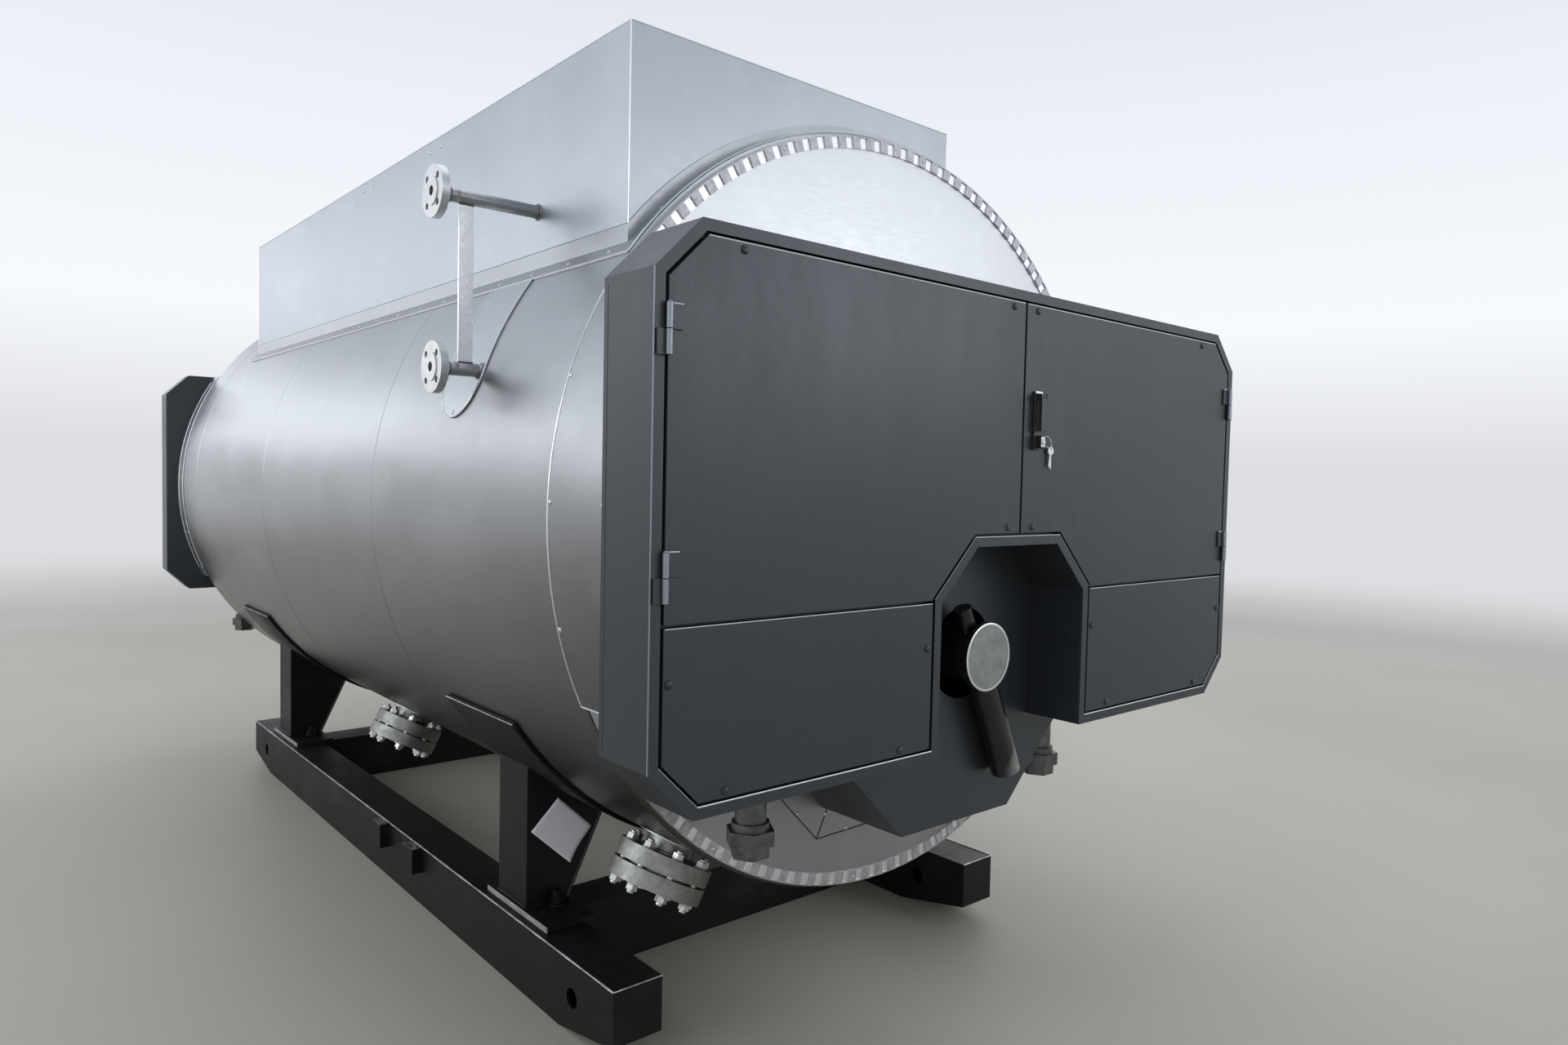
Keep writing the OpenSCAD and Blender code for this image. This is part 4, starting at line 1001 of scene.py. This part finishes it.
def cowl_fold_lines():
    """The joint between each cowl's skin and its back flange, seen from the side."""
    bm = bmesh.new()
    low, high = COWL_BOTTOM + COWL_CUT + 0.01, COWL_TOP - COWL_CUT - 0.01
    proud = COWL_HW + 0.00025
    for x0, x1 in ((-proud, 0.0008 - proud), (proud - 0.0008, proud)):
        for y in (PLATE_Y - 0.012, REAR_COWL_Y + 0.012):
            block(bm, (x0, y - 0.0009, low), (x1, y + 0.0009, high))
    finish_piece("cowl_fold_lines", bm, "boiler", GROOVE)


def hinge_details(side, door):
    """Knuckles in a lighter satin coat that is partly painted highlight, half of them on the frame
    and half on the door, the pins' heads, and lines of painted highlight on the upper edges of the
    door's leaves."""
    fixed, moving, edges = bmesh.new(), bmesh.new(), bmesh.new()
    shell = [(0.0040, 0.0), (0.0052, 0.0002), (0.0052, 0.0366), (0.0040, 0.0368)]
    x, y = side * HINGE_X, FACE_Y - 0.007
    for z in HINGE_Z:
        lathe(fixed, (x, y, z), (0, 0, -1), [(r, h + 0.0008) for r, h in shell], 20)
        lathe(moving, (x, y, z), (0, 0, 1), [(r, h + 0.0006) for r, h in shell], 20)
        lathe(moving, (x, y, z + 0.0378), (0, 0, 1), [(0, 0), (0.0042, 0), (0.0042, 0.0012),
                                                      (0.0028, 0.0026), (0, 0.0028)], 16)
        tube(edges, line((x - side * 0.0062, FACE_Y - 0.0036, z + 0.0379),
                         (x - side * 0.0265, FACE_Y - 0.0036, z + 0.0379), 4), 0.0011, 6)
    finish_piece(f"hinge_knuckles_fixed_{door}", fixed, "boiler", SATIN_HIGHLIGHT)
    finish_piece(f"hinge_knuckles_{door}", moving, door, SATIN_HIGHLIGHT)
    finish_piece(f"hinge_leaf_edges_{door}", edges, door, HIGHLIGHT_COAT)


def edge_line(bm, points, radius=0.0009):
    """A thin line along an edge of the cowl's face, through (x, z) points."""
    for (xa, za), (xb, zb) in zip(points, points[1:]):
        count = max(2, int(math.hypot(xb - xa, zb - za) / 0.05))
        tube(bm, line((xa, FACE_Y + 0.0004, za), (xb, FACE_Y + 0.0004, zb), count), radius, 6)


def cowl_edge_lines():
    """Lines of painted highlight: pale ones on the edges that face up, fainter satin ones on the
    cowl's corners.
    """
    top, low = COWL_TOP - 0.0247, COWL_BOTTOM + 0.0195
    (side_x, side_z), (top_x, top_z) = TUNNEL_SIDE, TUNNEL_TOP
    wear_and_highlight, corners = bmesh.new(), bmesh.new()
    for side, door in ((-1, "left_door"), (1, "right_door")):
        bm = bmesh.new()
        edge_line(bm, [(side * 0.790, top), (side * 0.004, top)], 0.0013)
        finish_piece(f"edge_line_{door}", bm, door, HIGHLIGHT_COAT)
        edge_line(wear_and_highlight, [(side * 0.858, PANEL_TOP), (side * 0.262, PANEL_TOP)])
        edge_line(wear_and_highlight, [(side * 0.793, low), (side * side_x, low)], 0.0013)
        edge_line(corners, [(side * 0.866, low + 0.073), (side * 0.793, low)])
        edge_line(corners, [(side * COWL_HW, COWL_TOP - COWL_CUT),
                            (side * COWL_HW, COWL_BOTTOM + COWL_CUT)], 0.0012)
        edge_line(corners, [(side * side_x, side_z), (side * top_x, top_z)])
    edge_line(wear_and_highlight, [(-top_x, top_z), (top_x, top_z)])
    finish_piece("painted_highlight_lines", wear_and_highlight, "boiler", HIGHLIGHT_COAT)
    finish_piece("corner_lines", corners, "boiler", SATIN_HIGHLIGHT)


def handle_lock():
    """Bright cap over the handle's plate, and the lock's face and cylinder."""
    x = HANDLE_X
    bm = bmesh.new()
    block(bm, (x - 0.0120, FACE_Y - 0.0066, HANDLE_TOP - 0.0035),
          (x + 0.0120, FACE_Y - 0.0010, HANDLE_TOP + 0.0008))
    block(bm, (x - 0.0062, LOCK_Y - 0.0004, 1.3000), (x + 0.0062, LOCK_Y + 0.0005, 1.3205))
    lathe(bm, (x, LOCK_Y, 1.3100), (0, -1, 0),
          [(0, -0.0004), (0.0052, -0.0004), (0.0052, 0.0022), (0.0044, 0.0032), (0.0032, 0.0032),
           (0.0028, 0.0024), (0, 0.0024)], 24)
    finish_piece("handle_lock", bm, "right_door", CHROME, bevel=0.0004)


def key(bm, start, tilt, length):
    """A flat key that hangs from start: a drilled head and a notched blade."""
    along = Vector((math.sin(tilt), 0, -math.cos(tilt)))
    across = Vector((math.cos(tilt), 0, math.sin(tilt)))
    head = start + along * 0.009
    rim = [head + along * 0.0085 * math.cos(a) + across * 0.0098 * math.sin(a)
           for a in angles(22)]
    hole = [head - along * 0.0040 + along * 0.0022 * math.cos(a) + across * 0.0022 * math.sin(a)
            for a in angles(22)]
    blade = [(-0.0026, 0), (0.0026, 0), (0.0026, 0.45), (0.0012, 0.50), (0.0027, 0.58),
             (0.0010, 0.66), (0.0026, 0.74), (0.0012, 0.84), (0.0018, 0.94), (0.0, 1.0),
             (-0.0026, 0.93)]
    blade = [head + across * a + along * (0.008 + length * b) for a, b in blade]
    front, back = (
        [[bm.verts.new(p + shift) for p in loop] for loop in (rim, hole, blade)]
        for shift in (Vector(), Vector((0, -0.0018, 0)))
    )
    bridge(bm, front[0], front[1])
    bridge(bm, back[0], back[1])
    bm.faces.new(front[2])
    bm.faces.new(list(reversed(back[2])))
    for far, near in zip(back, front):
        bridge(bm, far, near)


def keys():
    """Two keys on a ring beside the lock."""
    x, y, z = HANDLE_X + 0.0445, FACE_Y - 0.0035, 1.2985
    bm = bmesh.new()
    tube(bm, [(x - 0.014 + 0.0150 * math.sin(a), y - 0.004 + 0.004 * math.cos(a),
               z + 0.013 + 0.0120 * math.cos(a)) for a in angles(30)], 0.0008, 8, True)
    key(bm, Vector((x, y, z + 0.004)), 0.10, 0.030)
    key(bm, Vector((x + 0.0024, y - 0.0018, z + 0.004)), -0.16, 0.027)
    finish_piece("keys", bm, "right_door", CHROME)


cowl_screws("screws_left_door", "left_door", [(-x, z) for x, z in DOOR_SCREWS])
cowl_screws("screws_right_door", "right_door", DOOR_SCREWS)
cowl_screws("screws_panels", "boiler", [(s * x, z) for s in (-1, 1) for x, z in PANEL_SCREWS])
cowl_fold_lines()
hinge_details(-1, "left_door")
hinge_details(1, "right_door")
cowl_edge_lines()
handle_lock()
keys()


# Burner stub: blind disc and weld

def burner_details():
    """The blind disc's bright rim and dull face, and the weld round the stub."""
    bm = bmesh.new()
    lathe(bm, (0, BLIND_Y, BURNER_Z), (0, -1, 0),
          [(0.0715, -0.0006), (0.0715, 0.0006), (0.0700, 0.0011), (0.0675, 0.0011),
           (0.0668, 0.0005)], 72)
    finish_piece("blind_rim", bm, "boiler", BRIGHT)
    bm = bmesh.new()
    lathe(bm, (0, BLIND_Y, BURNER_Z), (0, -1, 0), [(0.0669, 0.0), (0.0669, 0.0006), (0, 0.0006)],
          72)
    finish_piece("blind_face", bm, "boiler", BLIND)
    bm = bmesh.new()
    tube(bm, [(0.0605 * math.cos(a), PLATE_Y - 0.0600, BURNER_Z + 0.0605 * math.sin(a))
              for a in angles(40)], 0.0028, 8, True, 0.2)
    finish_piece("stub_weld", bm, "boiler", STUB)


burner_details()


# Stage: floor, world and lamps

def make_floor():
    bm = bmesh.new()
    bm.faces.new([bm.verts.new((60.0 * math.cos(a), 60.0 * math.sin(a), 0)) for a in angles(64)])
    mesh = bpy.data.meshes.new("floor")
    bm.to_mesh(mesh)
    bm.free()
    floor = bpy.data.objects.new("floor", mesh)
    mesh.materials.append(pale_floor("pale_floor", (0.455, 0.42, 0.36), HORIZON))
    bpy.context.scene.collection.objects.link(floor)


def make_world():
    """A studio whose walls are pale at the horizon, brightest above it and dimmer overhead."""
    world = bpy.data.worlds.new("studio")
    bpy.context.scene.world = world
    world.use_nodes = True
    tree = world.node_tree
    coords = tree.nodes.new("ShaderNodeTexCoord")
    split = tree.nodes.new("ShaderNodeSeparateXYZ")
    tree.links.new(coords.outputs["Generated"], split.inputs[0])
    height = tree.nodes.new("ShaderNodeMapRange")
    height.inputs["From Min"].default_value = -1
    height.inputs["From Max"].default_value = 1
    tree.links.new(split.outputs[2], height.inputs["Value"])
    ramp = tree.nodes.new("ShaderNodeValToRGB")
    stops = [(0.0, (0.25, 0.25, 0.25)), (0.47, HORIZON), (0.51, HORIZON),
             (0.57, (0.93, 0.95, 0.98)), (0.66, (0.84, 0.88, 0.94)), (0.84, (0.58, 0.62, 0.68)),
             (1.0, (0.42, 0.46, 0.52))]
    while len(ramp.color_ramp.elements) < len(stops):
        ramp.color_ramp.elements.new(0.5)
    for element, (position, colour) in zip(ramp.color_ramp.elements, stops):
        element.position = position
        element.color = (*colour, 1)
    tree.links.new(height.outputs[0], ramp.inputs[0])
    tree.links.new(ramp.outputs[0], tree.nodes["Background"].inputs["Color"])


def area_lamp(name, at, to, size, power, colour):
    data = bpy.data.lights.new(name, "AREA")
    data.shape = "RECTANGLE"
    data.size, data.size_y = size
    data.energy = power
    data.color = colour
    lamp = bpy.data.objects.new(name, data)
    lamp.location = at
    lamp.rotation_euler = (Vector(to) - Vector(at)).to_track_quat("-Z", "Y").to_euler()
    lamp.visible_camera = False
    bpy.context.scene.collection.objects.link(lamp)


make_floor()
make_world()
area_lamp("roof_light", (0.3, 0.5, 6.0), (0, 0, 1.0), (4.0, 7.0), 90, (0.96, 0.98, 1.0))
area_lamp("window_left", (-6.5, 1.5, 3.0), (0, 0.3, 1.2), (6.5, 2.2), 104, (0.94, 0.97, 1.0))
area_lamp("window_back", (-3.5, 12.0, 3.6), (-0.6, 0.0, 1.3), (8.0, 2.2), 50, (0.94, 0.97, 1.0))
area_lamp("window_front", (4.0, -7.0, 2.7), (-0.6, -1.9, 1.4), (3.2, 1.4), 46, (0.97, 0.99, 1.0))
area_lamp("window_right", (6.5, 1.0, 3.2), (0, 0, 1.2), (5.0, 2.2), 60, (1.0, 0.99, 0.97))

bpy.context.scene.view_settings.view_transform = "Standard"
